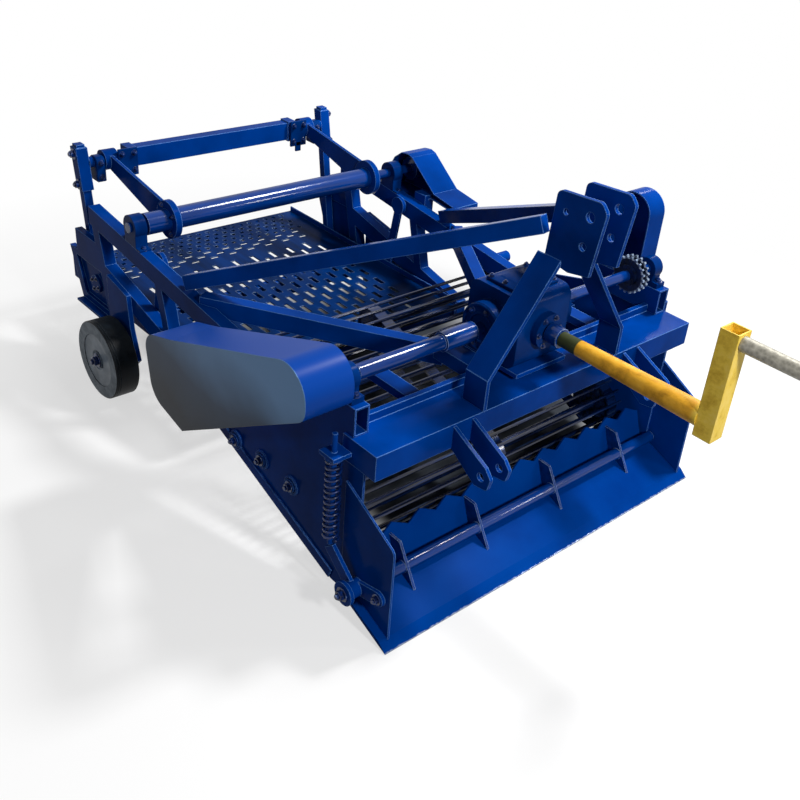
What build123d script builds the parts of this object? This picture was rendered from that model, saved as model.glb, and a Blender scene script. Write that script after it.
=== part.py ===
"""Mounted peanut harvester: digging blade, rod-chain elevator, shaker sieve, three-point hitch."""
import os
from math import atan2, cos, hypot, pi, radians, sin

from build123d import *

# Millimetres. X forward to the tractor, Y to the machine's left, Z up.
# Zero is the middle of the main beam's front top edge.
FLOOR_Z = -655.0

# Main cross beam
BEAM_HALF = 765.0
BEAM_DEEP = 155.0
LIP_DEEP = 20.0
LIP_RISE = 28.0
LIP_IN = 205.0
BEAM_HIGH = 88.0

# Elevator width at the front: outer faces of its side plates, and of the bearing stands
WING_THICK = 8.0
FRAME_OUT = BEAM_HALF - WING_THICK
FRAME_WIDE = 55.0
FRAME_IN = FRAME_OUT - FRAME_WIDE
STAND_FRONT_X = -115.0
STAND_REAR_X = -420.0
STAND_HIGH = 98.0
STAND_WALL = 6.0
STAND_BACK = 60.0

# Side frames behind: a rail that falls to the front, a steeper lower rail and leaning posts
TRUSS_STEP = 89.0
TRUSS_OUT = FRAME_OUT - TRUSS_STEP
TRUSS_WIDE = 50.0
TRUSS_IN = TRUSS_OUT - TRUSS_WIDE
RAIL_REAR_X = -1955.0
RAIL_REAR_Z = 62.0
RAIL_FRONT_X = -470.0
RAIL_FALL = 0.11
RAIL_HIGH = 76.0
LOW_RAIL = [(-1880, -152), (-1075, -337), (-1075, -415), (-1880, -230)]
POST_REAR = [(-1945, 20), (-1893, 20), (-1785, -398), (-1842, -398)]
POST_MID = [(-1450, -30), (-1403, -30), (-1330, -300), (-1377, -300)]
SPACER_X = [-940, -560]
SPACER_R = 24.0
REAR_BOX = (-2100.0, -1890.0, -184.0, -85.0)
REAR_BOX_WIDE = 30.0
WINDOW_OUTER = [(-2166, -182), (-1880, -182), (-1830, -396), (-2081, -396)]
WINDOW_INNER = [(-2113, -206), (-1885, -206), (-1848, -366), (-2050, -366)]
WINDOW_THICK = 24.0
WINDOW_BACK = 8.0
WINDOW_HUB = (-1953.0, -284.0)
WINDOW_HUB_R = 38.0
WINDOW_FLANGE = (-2075.0, -1830.0, -402.0, -392.0)
WINDOW_FLANGE_OUT = TRUSS_OUT + 32.0

# Elevator side plates
SIDE_THICK = 8.0
SIDE_OUTLINE = [(-BEAM_DEEP, 0), (STAND_REAR_X, 0), (-1000, -150), (-1000, -313), (-840, -370),
                (-190, -600), (-60, -600), (-60, -BEAM_HIGH), (-BEAM_DEEP, -BEAM_HIGH)]
AXLE_BOSSES = [(-741, -357), (-582, -349), (-414, -355)]
BOSS_R = 24.0
BOSS_HIGH = 12.0

# Digging blade
BLADE_HALF = BEAM_HALF + 30.0
BLADE_TIP_X = 140.0
BLADE_CHORD = 250.0
BLADE_THICK = 14.0
BLADE_BEVEL = 42.0
BLADE_PITCH = radians(21.4)

# Lifter plate with a toothed top edge, its tube and fins
LIFT_HALF = FRAME_OUT - 17.0
LIFT_FOOT = (-78.0, -560.0)
LIFT_TOP = (-120.0, -448.0)
LIFT_THICK = 8.0
TOOTH_PITCH = 123.0
TOOTH_HIGH = 32.0
BAR_X = -42.0
BAR_Z = -535.0
BAR_R = 22.0
FIN_THICK = 10.0
FIN_Y = [-575, -235, 150, 540]
FIN_FRONT = (26.0, -600.0)
FIN_TOP = (-66.0, -450.0)

# Side plates of the blade, outside the elevator plates
WING_OUTLINE = [(112, -640), (108, -284), (-49, -202), (-130, -160), (-130, -590)]
WING_ROUND = 26.0
PIVOT_X = -40.0
PIVOT_Z = -517.0
PIVOT_R = 30.0
PIVOT_LONG = 50.0
PIVOT_CAP_R = 42.0
PIVOT_CAP = 14.0
LINK_END = (62.0, -492.0)
LINK_R = 26.0
LINK_THICK = 12.0

# Three-point hitch
CLEVIS_Y = 413.5
CLEVIS_GAP = 68.0
CLEVIS_THICK = 13.0
CLEVIS_OUTLINE = [(0, -8), (150, -78), (176, -108), (166, -152), (112, -160), (0, -88)]
LOWER_PIN_X = 135.0
LOWER_PIN_Z = -118.0
LOWER_PIN_R = 14.5
MAST_FOOT_Y = 320.0
MAST_TOP_Y = 67.0
MAST_BEND_Z = 105.0
MAST_TOP_Z = 440.0
LEG_WIDE = 96.0
LEG_THICK = 14.0
EAR_Y = 60.0
EAR_OUTLINE = [(-68, 440), (-54, 664), (112, 676), (137, 648), (110, 440), (30, 425)]
EAR_ROUND = 22.0
EAR_HOLES = [
    dict(x=80, z=620, r=16.0),
    dict(x=70, z=524, r=13.0),
    dict(x=-12, z=606, r=10.0),
]

# Stays from the ears to the side rails, braces from the side rails to the gearbox floor
STAY_SIZE = 55.0
STAY_REAR = (-1235.0, TRUSS_OUT - 28.0, 14.0)
STAY_FRONT = (-66.0, 96.0, 554.0)
BRACE_WIDE = 50.0
BRACE_HIGH = 70.0
BRACE_REAR = (-1150.0, TRUSS_OUT - 34.0)
BRACE_FRONT = (-385.0, 140.0)
STRUT_Y = 445.0
STRUT_REAR_X = -410.0
STRUT_WIDE = 60.0
STRUT_THICK = 30.0

# Gearbox, cross shaft and input shaft
SHAFT_X = -200.0
SHAFT_Z = 160.0
SHAFT_R = 20.0
GEAR_HALF = 120.0
GEAR_REAR_X = -320.0
GEAR_FRONT_X = -85.0
GEAR_LOW_Z = 30.0
GEAR_HIGH_Z = 285.0
FLANGE_R = 86.0
FLANGE_Y = 175.0
FLOOR_PLATE_THICK = 30.0
FLOOR_PLATE_HALF = 200.0
FLOOR_PLATE_BACK = 60.0
TUBE_R = 25.0
COUPLING_R = 33.0
COUPLING_OUT = 350.0
COUPLING_IN = 215.0
SPROCKET_Y = FRAME_IN - 90.0
SPROCKET_R = 72.0
SPROCKET_TEETH = 20
DRIVE_R = 62.0
DRIVE_WIDE = 18.0
DRIVE_IN = 70.0
SHAFT_END_IN = 35.0
BEARING_R = 42.0
RUN_GAP = 0.3

# Hand crank on the input shaft
INPUT_R = 17.5
HUB_R = 34.0
CRANK_START_X = 0.0
SOCKET_LEN = 75.0
CRANK_END_X = 548.0
CRANK_R0 = 25.5
CRANK_R1 = 37.0
ARM_SIZE = 62.0
ARM_WALL = 5.0
ARM_LOW = 55.0
ARM_HIGH = 300.0
GRIP_R = 23.0
GRIP_RISE = 268.0
GRIP_LEN = 290.0

# Right drive guard
GUARD_DEEP = 173.0
GUARD_IN_Y = -FRAME_OUT
GUARD_OUT_Y = GUARD_IN_Y - GUARD_DEEP
GUARD_SHEET = 4.0
GUARD_OUTLINE = [(-1036, -20), (-857, 35), (-124, 303), (-124, 115), (-808, -294), (-1000, -250)]
GUARD_ROUNDS = [
    dict(corner=0, r=70.0),
    dict(corner=2, r=95.0),
    dict(corner=3, r=60.0),
    dict(corner=5, r=90.0),
]
GUARD_OPEN = [(-800, -310), (-150, 80), (-158, 110), (-790, -265)]

# Left guards
SHIELD = [(-430, 0), (-430, 402), (-265, 402), (-265, 0)]
SHIELD_ROUND = 80.0
SHIELD_Y = (FRAME_OUT, FRAME_OUT + 93.0)
SHIELD_SHEET = 5.0
BELT_GUARD = [(-1725, -20), (-1698, 70), (-1652, 147), (-1606, 182), (-1562, 188), (-1532, 180), (-1370, 60),
              (-1228, 40), (-1228, 14), (-1380, 30), (-1500, -20)]
BELT_GUARD_Y = (TRUSS_OUT + 22.0, TRUSS_OUT + 167.0)
BELT_FOOT_X = (-1470.0, -1400.0)
BELT_FOOT_Z = (-35.0, 45.0)
BELT_FOOT_LONG = 30.0

# Rod-chain elevator
CHAIN_HALF = FRAME_IN - 12.0
FRONT_ROLL = (-270.0, -450.0)
FRONT_ROLL_R = 92.0
HEAD_ROLL = (-930.0, -205.0)
HEAD_ROLL_R = 62.0
WEB_THICK = 8.0
WEB_WIDE = 50.0
WEB_Y = [50.0 - CHAIN_HALF, 0.0, CHAIN_HALF - 50.0]
ROD_R = 6.0
ROD_PITCH = 46.0

# Shaker sieve
DECK_Z = -338.0
DECK_THICK = 5.0
DECK_X = (-2320.0, -1060.0)
SIEVE_WALL = 6.0
SIEVE_GAP = 24.0
DECK_HALF = TRUSS_IN - SIEVE_GAP - SIEVE_WALL
SIEVE_WALL_HIGH = 28.0
SIEVE_WALL_LOW = 75.0
SLOT_EDGE = 40.0
SLOTS = [
    dict(x0=-1105, x1=-1965, pitch_x=54, pitch_y=100, along_x=64, along_y=20),
    dict(x0=-2022, x1=-2086, pitch_x=32, pitch_y=100, along_x=14, along_y=40),
    dict(x0=-2125, x1=-2295, pitch_x=40, pitch_y=48, along_x=20, along_y=18),
]
SIEVE_BARS_X = [-1100, -1680, -2290]
POST_FOOT = (-2020.0, -318.0)
POST_TOP = (-2115.0, 262.0)
POST_SIZE = 36.0
SLEEVE_SIZE = 50.0
SLEEVE_LOW_Z = 80.0
CROSS_X = -2096.0
CROSS_Z = 186.0
CROSS_DEEP = 50.0
CROSS_HIGH = 80.0
STUB_R = 22.0
HANGER_TOP = (-1500.0, -22.0)
HANGER_LOW = (-1556.0, -352.0)
HANGER_Y = TRUSS_IN - 12.0
HANGER_THICK = 10.0
HANGER_BOSS_R = 40.0

# Shaker shaft and its rods
SHAKER_X = -1610.0
SHAKER_Z = 95.0
SHAKER_R = 43.0
SHAKER_BLOCK_R = 48.0
SHAKER_STUB_R = 20.0
ROD_Y = DECK_HALF - 91.0
CROSS_HALF = ROD_Y - 112.0
SHAKER_RIGHT = 12.0 - TRUSS_IN
SHAKER_LEFT = ROD_Y + 27.0
ROD_THICK = 26.0
BIG_END_R = 76.0
SMALL_END_R = 42.0
ROD_WIDE = 112.0
ROD_NARROW = 58.0
PULLEY_Y = TRUSS_OUT + 107.0
PULLEY_R = 52.0
PULLEY_WIDE = 50.0

# Rear wheels
WHEEL_X = -1700.0
WHEEL_R = 165.0
WHEEL_OUT_Y = TRUSS_OUT + 137.0
WHEEL_WIDE = 100.0
TYRE_FLATS = 60
TYRE_DEEP = 53.0
RIM_R = WHEEL_R - TYRE_DEEP
DISC_SET = 14.0
WHEEL_HUB_R = 32.0
AXLE_R = 15.0
BRACKET_SIDE = [(-1800, -175), (-1640, -205), (-1625, -349), (-1585, -478), (-1642, -535), (-1745, -535),
                (-1800, -400)]
BRACKET_THICK = 20.0

# Depth springs at the beam ends
SPRING_X = -145.0
SPRING_Y = BEAM_HALF + 38.0
SPRING_TOP_Z = -60.0
SPRING_LOW_Z = -395.0
SPRING_R = 27.0
SPRING_ROD_R = 9.0
SPRING_ROD_TOP = 20.0
SPRING_EAR_X = (-180.0, -110.0)
SPRING_EAR_THICK = 14.0

nodes = {}


def rail_z(x):
    return RAIL_REAR_Z - RAIL_FALL * (x - RAIL_REAR_X)


def box(x0, x1, y0, y1, z0, z1):
    mid = ((x0 + x1) / 2, (y0 + y1) / 2, (z0 + z1) / 2)
    return Pos(*mid) * Box(abs(x1 - x0), abs(y1 - y0), abs(z1 - z0))


def slab(outline, y0, y1, radius=0.0, corners=None):
    """Flat piece with an outline in X and Z, thick from y0 to y1."""
    face = make_face(Polyline(*outline, close=True))
    if radius:
        picked = [v for v in face.vertices() if corners is None or any(
            hypot(v.X - outline[k][0], v.Y - outline[k][1]) < 0.1 for k in corners)]
        face = fillet(picked, radius)
    low, high = min(y0, y1), max(y0, y1)
    return Pos(0, high, 0) * Rot(90, 0, 0) * extrude(face, high - low)


def rod_y(x, z, r, y0, y1):
    low, high = min(y0, y1), max(y0, y1)
    return Pos(x, high, z) * Rot(90, 0, 0) * extrude(Circle(r), high - low)


def rod_x(y, z, r, x0, x1):
    return Pos(min(x0, x1), y, z) * Rot(0, 90, 0) * extrude(Circle(r), abs(x1 - x0))


def rod_z_axis(x, y, r, z0, z1):
    return Pos(x, y, min(z0, z1)) * extrude(Circle(r), abs(z1 - z0))


def bar(p0, p1, wide, high, level=(0, 1, 0)):
    """Square-cut bar from p0 to p1; its width lies along the level direction."""
    axis = Vector(*p1) - Vector(*p0)
    plane = Plane(origin=p0, x_dir=level, z_dir=axis)
    return extrude(plane * Rectangle(wide, high), axis.length)


def flip(shape):
    return mirror(shape, about=Plane.XZ)


def pair(name, right):
    nodes[name + "_right"] = right
    nodes[name + "_left"] = flip(right)


# Main beam with an upright lip on its rear edge
beam = box(-BEAM_DEEP, 0, -BEAM_HALF, BEAM_HALF, -BEAM_HIGH, 0)
lip = box(-BEAM_DEEP - LIP_DEEP, -BEAM_DEEP, -FRAME_IN, -LIP_IN, -LIP_RISE, LIP_RISE)
nodes["main_beam"] = beam + lip + flip(lip)

# Blade: bevelled plate, its underside on the tip line
along = (-cos(BLADE_PITCH), sin(BLADE_PITCH))
up = (sin(BLADE_PITCH), cos(BLADE_PITCH))


def blade_point(s, n):
    return (BLADE_TIP_X + s * along[0] + n * up[0], FLOOR_Z + s * along[1] + n * up[1])


def blade_bed(reach):
    """Everything below the blade's upper face, back to the reach; side plates are trimmed by it."""
    return slab([blade_point(0, -BLADE_CHORD), blade_point(0, 0), blade_point(BLADE_BEVEL, BLADE_THICK),
                 blade_point(reach, BLADE_THICK), blade_point(reach, -BLADE_CHORD)], -BLADE_HALF, BLADE_HALF)


blade = slab([blade_point(0, 0), blade_point(BLADE_BEVEL, BLADE_THICK), blade_point(BLADE_CHORD, BLADE_THICK),
              blade_point(BLADE_CHORD, 0)], -BLADE_HALF, BLADE_HALF)
nodes["digging_blade"] = blade

# Elevator side plates, with the open-ended tube that carries the shaft bearing
plate = slab(SIDE_OUTLINE, -FRAME_OUT, -FRAME_OUT + SIDE_THICK) - blade_bed(BLADE_CHORD)
stand = box(STAND_REAR_X, STAND_FRONT_X, -FRAME_OUT, -FRAME_IN, 0, STAND_HIGH)
stand -= box(STAND_REAR_X + STAND_BACK, STAND_FRONT_X + 1, -FRAME_OUT + STAND_WALL, -FRAME_IN - STAND_WALL,
             STAND_WALL, STAND_HIGH - STAND_WALL)
elevator_side = plate + stand
for x_boss, z_boss in AXLE_BOSSES:
    elevator_side += rod_y(x_boss, z_boss, BOSS_R, -FRAME_OUT - BOSS_HIGH, -FRAME_OUT)
pair("elevator_side", elevator_side)

# Side frames
rail_front = rail_z(RAIL_FRONT_X)
rail = slab([(RAIL_REAR_X, RAIL_REAR_Z), (RAIL_FRONT_X, rail_front),
             (RAIL_FRONT_X, rail_front - RAIL_HIGH), (RAIL_REAR_X, RAIL_REAR_Z - RAIL_HIGH)],
            -TRUSS_OUT, -TRUSS_IN)
side = rail + slab(LOW_RAIL, -TRUSS_OUT, -TRUSS_IN)
side += slab(POST_REAR, -TRUSS_OUT, -TRUSS_IN)
side += slab(POST_MID, -TRUSS_OUT, -TRUSS_IN)
for x_spacer in SPACER_X:
    side += rod_y(x_spacer, rail_z(x_spacer) - RAIL_HIGH / 2, SPACER_R, -FRAME_OUT + SIDE_THICK,
                  -TRUSS_OUT + 5)
window = slab(WINDOW_OUTER, -TRUSS_OUT, -TRUSS_OUT + WINDOW_THICK)
window -= slab(WINDOW_INNER, -TRUSS_OUT - 1, -TRUSS_OUT + WINDOW_THICK - WINDOW_BACK)
window += rod_y(*WINDOW_HUB, WINDOW_HUB_R, -TRUSS_OUT, -TRUSS_OUT + WINDOW_THICK - 1)
window += box(WINDOW_FLANGE[0], WINDOW_FLANGE[1], -WINDOW_FLANGE_OUT, -TRUSS_OUT + WINDOW_THICK,
              WINDOW_FLANGE[2], WINDOW_FLANGE[3])
side += window
side += box(REAR_BOX[0], REAR_BOX[1], -TRUSS_OUT, -TRUSS_OUT + REAR_BOX_WIDE, REAR_BOX[2], REAR_BOX[3])
pair("side_frame", side)

# Wheel brackets: a plate outside the lower rail with the stub axle
wheel_z = FLOOR_Z + WHEEL_R
bracket_out = TRUSS_OUT + BRACKET_THICK
bracket = slab(BRACKET_SIDE, -bracket_out, -TRUSS_OUT)
bracket += rod_y(WHEEL_X, wheel_z, AXLE_R, -WHEEL_OUT_Y - 4, -TRUSS_OUT - 2)
bracket += rod_y(WHEEL_X, wheel_z, 2 * AXLE_R, -bracket_out - 10, -TRUSS_OUT - 2)
pair("wheel_bracket", bracket)

# Lifter plate in its own leaning plane
lift_dx = LIFT_TOP[0] - LIFT_FOOT[0]
lift_dz = LIFT_TOP[1] - LIFT_FOOT[1]
lift_high = hypot(lift_dx, lift_dz)
edge = [(-LIFT_HALF, 0), (LIFT_HALF, 0), (LIFT_HALF, lift_high)]
teeth = int(2 * LIFT_HALF / TOOTH_PITCH)
tooth_start = teeth * TOOTH_PITCH / 2
for k in range(teeth):
    y_tooth = tooth_start - k * TOOTH_PITCH
    edge.append((y_tooth, lift_high))
    edge.append((y_tooth - 0.55 * TOOTH_PITCH, lift_high + TOOTH_HIGH))
edge.append((-tooth_start, lift_high))
edge.append((-LIFT_HALF, lift_high))
lift_plane = Plane(origin=(LIFT_FOOT[0], 0, LIFT_FOOT[1]), x_dir=(0, 1, 0), z_dir=(lift_dz, 0, -lift_dx))
lifter = extrude(lift_plane * make_face(Polyline(*edge, close=True)), -LIFT_THICK)
lifter -= blade
nodes["lifter_plate"] = lifter

# Tube with fins between blade and lifter
fins = rod_y(BAR_X, BAR_Z, BAR_R, -FRAME_OUT + SIDE_THICK, FRAME_OUT - SIDE_THICK)
for y_fin in FIN_Y:
    fins += slab([FIN_FRONT, FIN_TOP, LIFT_TOP, LIFT_FOOT], y_fin - FIN_THICK / 2, y_fin + FIN_THICK / 2)
fins -= blade
fins -= lifter
nodes["blade_tube"] = fins

# Blade side plates
wing = slab(WING_OUTLINE, -BEAM_HALF, -FRAME_OUT, WING_ROUND, [1])
wing -= blade_bed(2 * BLADE_CHORD)
link_2d = make_hull((Pos(PIVOT_X, PIVOT_Z) * Circle(LINK_R)).edges()
                    + (Pos(*LINK_END) * Circle(LINK_R)).edges())
wing += Pos(0, -BEAM_HALF, 0) * Rot(90, 0, 0) * extrude(link_2d, LINK_THICK)
wing += rod_y(PIVOT_X, PIVOT_Z, PIVOT_R, -BEAM_HALF - PIVOT_LONG, -BEAM_HALF)
wing += rod_y(PIVOT_X, PIVOT_Z, PIVOT_CAP_R, -BEAM_HALF - PIVOT_LONG - PIVOT_CAP, -BEAM_HALF - PIVOT_LONG)
wing += bar((SPRING_X, -SPRING_Y, SPRING_LOW_Z - 8), (PIVOT_X - 20, -SPRING_Y + 14, PIVOT_Z + 10), 14, 46)
pair("blade_side", wing)

# Depth springs
cap = rod_z_axis(SPRING_X, -SPRING_Y, 30, SPRING_TOP_Z - 8, SPRING_TOP_Z)
ear = box(*SPRING_EAR_X, -SPRING_Y - 30, -BEAM_HALF, SPRING_TOP_Z, SPRING_TOP_Z + SPRING_EAR_THICK)
spring_rod = rod_z_axis(SPRING_X, -SPRING_Y, SPRING_ROD_R, SPRING_LOW_Z, SPRING_ROD_TOP)
spring_rods = cap + ear + spring_rod
coil = rod_z_axis(SPRING_X, -SPRING_Y, SPRING_R, SPRING_LOW_Z + 16, SPRING_TOP_Z - 8)
coil -= rod_z_axis(SPRING_X, -SPRING_Y, SPRING_R - 9, SPRING_LOW_Z, SPRING_TOP_Z)
nodes["spring_rods"] = Compound(children=[spring_rods, flip(spring_rods)])
nodes["depth_springs"] = Compound(children=[coil, flip(coil)])

# Lower hitch
clevis_plate = slab(CLEVIS_OUTLINE, -CLEVIS_THICK / 2, CLEVIS_THICK / 2, 12.0, [2, 3])
clevis_plate -= rod_y(LOWER_PIN_X, LOWER_PIN_Z, LOWER_PIN_R, -CLEVIS_THICK, CLEVIS_THICK)
clevis_step = (CLEVIS_GAP + CLEVIS_THICK) / 2
cheeks = [Pos(0, -CLEVIS_Y + s * clevis_step, 0) * clevis_plate for s in (-1, 1)]
pair("lower_hitch", Compound(children=cheeks))

# Mast: bent legs with an ear plate on each
leg = box(-LEG_WIDE, 0, -MAST_FOOT_Y - LEG_THICK, -MAST_FOOT_Y, 0, MAST_BEND_Z + 4)
leg_tilt = Vector(0, MAST_FOOT_Y - MAST_TOP_Y, MAST_TOP_Z - MAST_BEND_Z)
leg_start = (-LEG_WIDE / 2, -MAST_FOOT_Y - LEG_THICK / 2, MAST_BEND_Z)
leg_plane = Plane(origin=leg_start, x_dir=(1, 0, 0), z_dir=leg_tilt)
slope = extrude(leg_plane * Rectangle(LEG_WIDE, LEG_THICK), leg_tilt.length + 3 * LEG_THICK)
leg += slope - box(-LEG_WIDE, 0, -EAR_Y - LEG_THICK, EAR_Y, MAST_BEND_Z, 2 * MAST_TOP_Z)
ear_plate = slab(EAR_OUTLINE, -EAR_Y - LEG_THICK, -EAR_Y, EAR_ROUND, [1, 2, 3])
for hole in EAR_HOLES:
    ear_plate -= rod_y(hole["x"], hole["z"], hole["r"], -EAR_Y - LEG_THICK - 1, -EAR_Y + 1)
mast = leg + ear_plate
pair("mast_leg", mast)

# Stays
stay = bar((STAY_REAR[0], -STAY_REAR[1], STAY_REAR[2]), (STAY_FRONT[0], -STAY_FRONT[1], STAY_FRONT[2]),
           STAY_SIZE, STAY_SIZE)
stay -= side
stay -= mast
nodes["mast_stays"] = Compound(children=[stay, flip(stay)])

# Floor of the gearbox and its braces
gear_floor = box(GEAR_REAR_X - FLOOR_PLATE_BACK, -BEAM_DEEP, -FLOOR_PLATE_HALF, FLOOR_PLATE_HALF,
                 -FLOOR_PLATE_THICK, GEAR_LOW_Z - 8)
gear_floor += box(GEAR_REAR_X, GEAR_FRONT_X + 20, -GEAR_HALF, GEAR_HALF, GEAR_LOW_Z - 16, GEAR_LOW_Z)
gear_floor -= beam
nodes["gearbox_floor"] = gear_floor
brace = bar((BRACE_REAR[0], -BRACE_REAR[1], -BRACE_HIGH / 2),
            (BRACE_FRONT[0], -BRACE_FRONT[1], -BRACE_HIGH / 2), BRACE_WIDE, BRACE_HIGH)
brace -= side
brace -= gear_floor
strut = box(STRUT_REAR_X, -BEAM_DEEP - LIP_DEEP, -STRUT_Y - STRUT_WIDE / 2, -STRUT_Y + STRUT_WIDE / 2,
            -STRUT_THICK, 0)
nodes["frame_braces"] = Compound(children=[brace, strut, flip(brace), flip(strut)])

# Gearbox: closed block with round side flanges and an input neck
gearbox = box(GEAR_REAR_X, GEAR_FRONT_X, -GEAR_HALF, GEAR_HALF, GEAR_LOW_Z, GEAR_HIGH_Z)
gearbox = fillet(gearbox.edges().filter_by(Axis.Y), 40)
gearbox += rod_y(SHAFT_X, SHAFT_Z, FLANGE_R, -FLANGE_Y, FLANGE_Y)
gearbox += rod_x(0, SHAFT_Z, 62, GEAR_FRONT_X, GEAR_FRONT_X + 28)
gearbox -= rod_y(SHAFT_X, SHAFT_Z, SHAFT_R + RUN_GAP, -FLANGE_Y - 1, FLANGE_Y + 1)
gearbox -= rod_x(0, SHAFT_Z, INPUT_R + RUN_GAP, GEAR_FRONT_X - 40, GEAR_FRONT_X + 29)
nodes["gearbox"] = gearbox

# Pillow blocks on the bearing stands, and those of the shaker shaft on the rails


def pillow(x, z, base_z, base_half, neck_half, r, hole, y0, y1):
    """Bearing block standing on base_z with its bore at z."""
    face = Pos(x, z) * Circle(r)
    face += Pos(x, (base_z + z) / 2) * Rectangle(2 * neck_half, z - base_z)
    face += Pos(x, base_z + 10) * Rectangle(2 * base_half, 20)
    face -= Pos(x, z) * Circle(hole)
    return Pos(0, max(y0, y1), 0) * Rot(90, 0, 0) * extrude(face, abs(y1 - y0))


block = pillow(SHAFT_X, SHAFT_Z, STAND_HIGH, 62, 36, BEARING_R, SHAFT_R + RUN_GAP, -FRAME_OUT + 4,
               -FRAME_IN - 4)
rail_block = pillow(SHAKER_X, SHAKER_Z, rail_z(SHAKER_X) - 20, 70, 42, SHAKER_BLOCK_R,
                    SHAKER_STUB_R + RUN_GAP, -TRUSS_OUT, -TRUSS_IN)
rail_block -= side
nodes["shaft_bearings"] = Compound(children=[block, flip(block), rail_block, flip(rail_block)])

# Cross shaft with its cover tube, coupling and drive sprocket
drive_y = GUARD_OUT_Y + DRIVE_IN
cross = rod_y(SHAFT_X, SHAFT_Z, SHAFT_R, GUARD_OUT_Y + SHAFT_END_IN, FRAME_OUT + 2)
cross += rod_y(SHAFT_X, SHAFT_Z, TUBE_R, -FRAME_IN + 10, -COUPLING_OUT)
cross += rod_y(SHAFT_X, SHAFT_Z, COUPLING_R, -COUPLING_OUT, -COUPLING_IN)
cross += rod_y(SHAFT_X, SHAFT_Z, DRIVE_R, drive_y - DRIVE_WIDE / 2, drive_y + DRIVE_WIDE / 2)
nodes["cross_shaft"] = cross


def sprocket(x, z, r, count, y0, y1, hole):
    depth = 9.0
    ring = []
    for k in range(count):
        for share, rad in ((-0.30, r - depth), (-0.14, r), (0.14, r), (0.30, r - depth)):
            turn = 2 * pi * (k + share) / count
            ring.append((x + rad * cos(turn), z + rad * sin(turn)))
    return slab(ring, y0, y1) - rod_y(x, z, hole, y0 - 1, y1 + 1)


double = rod_y(SHAFT_X, SHAFT_Z, 40, SPROCKET_Y - 30, SPROCKET_Y + 30)
double -= rod_y(SHAFT_X, SHAFT_Z, SHAFT_R, SPROCKET_Y - 31, SPROCKET_Y + 31)
for side_y in (-14, 14):
    double += sprocket(SHAFT_X, SHAFT_Z, SPROCKET_R, SPROCKET_TEETH, SPROCKET_Y + side_y - 5,
                       SPROCKET_Y + side_y + 5, SHAFT_R)
nodes["double_sprocket"] = double

# Input shaft with its flange
input_shaft = rod_x(0, SHAFT_Z, INPUT_R, GEAR_FRONT_X - 30, CRANK_START_X + SOCKET_LEN)
input_shaft += rod_x(0, SHAFT_Z, HUB_R, GEAR_FRONT_X + 34, CRANK_START_X)
nodes["input_shaft"] = input_shaft

# Hand crank: socket, tapered tube and hollow arm
crank = Pos(CRANK_START_X, 0, SHAFT_Z) * Rot(0, 90, 0) * loft(
    [Circle(CRANK_R0), Pos(0, 0, CRANK_END_X) * Circle(CRANK_R1)])
crank -= rod_x(0, SHAFT_Z, INPUT_R, CRANK_START_X - 1, CRANK_START_X + SOCKET_LEN)
arm = box(CRANK_END_X, CRANK_END_X + ARM_SIZE, -ARM_SIZE / 2, ARM_SIZE / 2, SHAFT_Z - ARM_LOW,
          SHAFT_Z + ARM_HIGH)
arm -= box(CRANK_END_X + ARM_WALL, CRANK_END_X + ARM_SIZE - ARM_WALL, -ARM_SIZE / 2 + ARM_WALL,
           ARM_SIZE / 2 - ARM_WALL, SHAFT_Z + 40, SHAFT_Z + ARM_HIGH + 1)
nodes["hand_crank"] = crank + arm
grip = rod_x(0, SHAFT_Z + GRIP_RISE, GRIP_R, CRANK_END_X + ARM_SIZE, CRANK_END_X + ARM_SIZE + GRIP_LEN)
nodes["crank_grip"] = grip

# Right drive guard: outer sheet and a rim round it, open to the frame and below
guard_2d = make_face(Polyline(*GUARD_OUTLINE, close=True))
for turn in GUARD_ROUNDS:
    corner_x, corner_z = GUARD_OUTLINE[turn["corner"]]
    corner = min(guard_2d.vertices(), key=lambda v: hypot(v.X - corner_x, v.Y - corner_z))
    guard_2d = fillet([corner], turn["r"])
inset_2d = offset(guard_2d, amount=-GUARD_SHEET)
guard = Pos(0, GUARD_IN_Y, 0) * Rot(90, 0, 0) * extrude(guard_2d, GUARD_DEEP)
guard -= Pos(0, GUARD_IN_Y, 0) * Rot(90, 0, 0) * extrude(inset_2d, GUARD_DEEP - GUARD_SHEET)
guard -= slab(GUARD_OPEN, GUARD_OUT_Y + GUARD_SHEET, GUARD_IN_Y)
nodes["drive_guard"] = guard

# Left shield and belt guard
shield_2d = make_face(Polyline(*SHIELD, close=True))
shield_2d = fillet([v for v in shield_2d.vertices() if v.Y > SHIELD_ROUND], SHIELD_ROUND)
shield_in = offset(shield_2d, amount=-SHIELD_SHEET)
shield_deep = SHIELD_Y[1] - SHIELD_Y[0]
shield = Pos(0, SHIELD_Y[1], 0) * Rot(90, 0, 0) * extrude(shield_2d, shield_deep)
shield -= Pos(0, SHIELD_Y[1] - SHIELD_SHEET, 0) * Rot(90, 0, 0) * extrude(shield_in, shield_deep)
nodes["left_shield"] = shield
belt_2d = make_face(Polyline(*BELT_GUARD, close=True))
belt_in = offset(belt_2d, amount=-GUARD_SHEET)
belt_deep = BELT_GUARD_Y[1] - BELT_GUARD_Y[0]
belt_guard = Pos(0, BELT_GUARD_Y[1], 0) * Rot(90, 0, 0) * extrude(belt_2d, belt_deep)
belt_guard -= Pos(0, BELT_GUARD_Y[1] - GUARD_SHEET, 0) * Rot(90, 0, 0) * extrude(belt_in, belt_deep)
belt_guard += box(*BELT_FOOT_X, TRUSS_OUT, BELT_GUARD_Y[0] + BELT_FOOT_LONG, *BELT_FOOT_Z)
nodes["belt_guard"] = belt_guard

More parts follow.
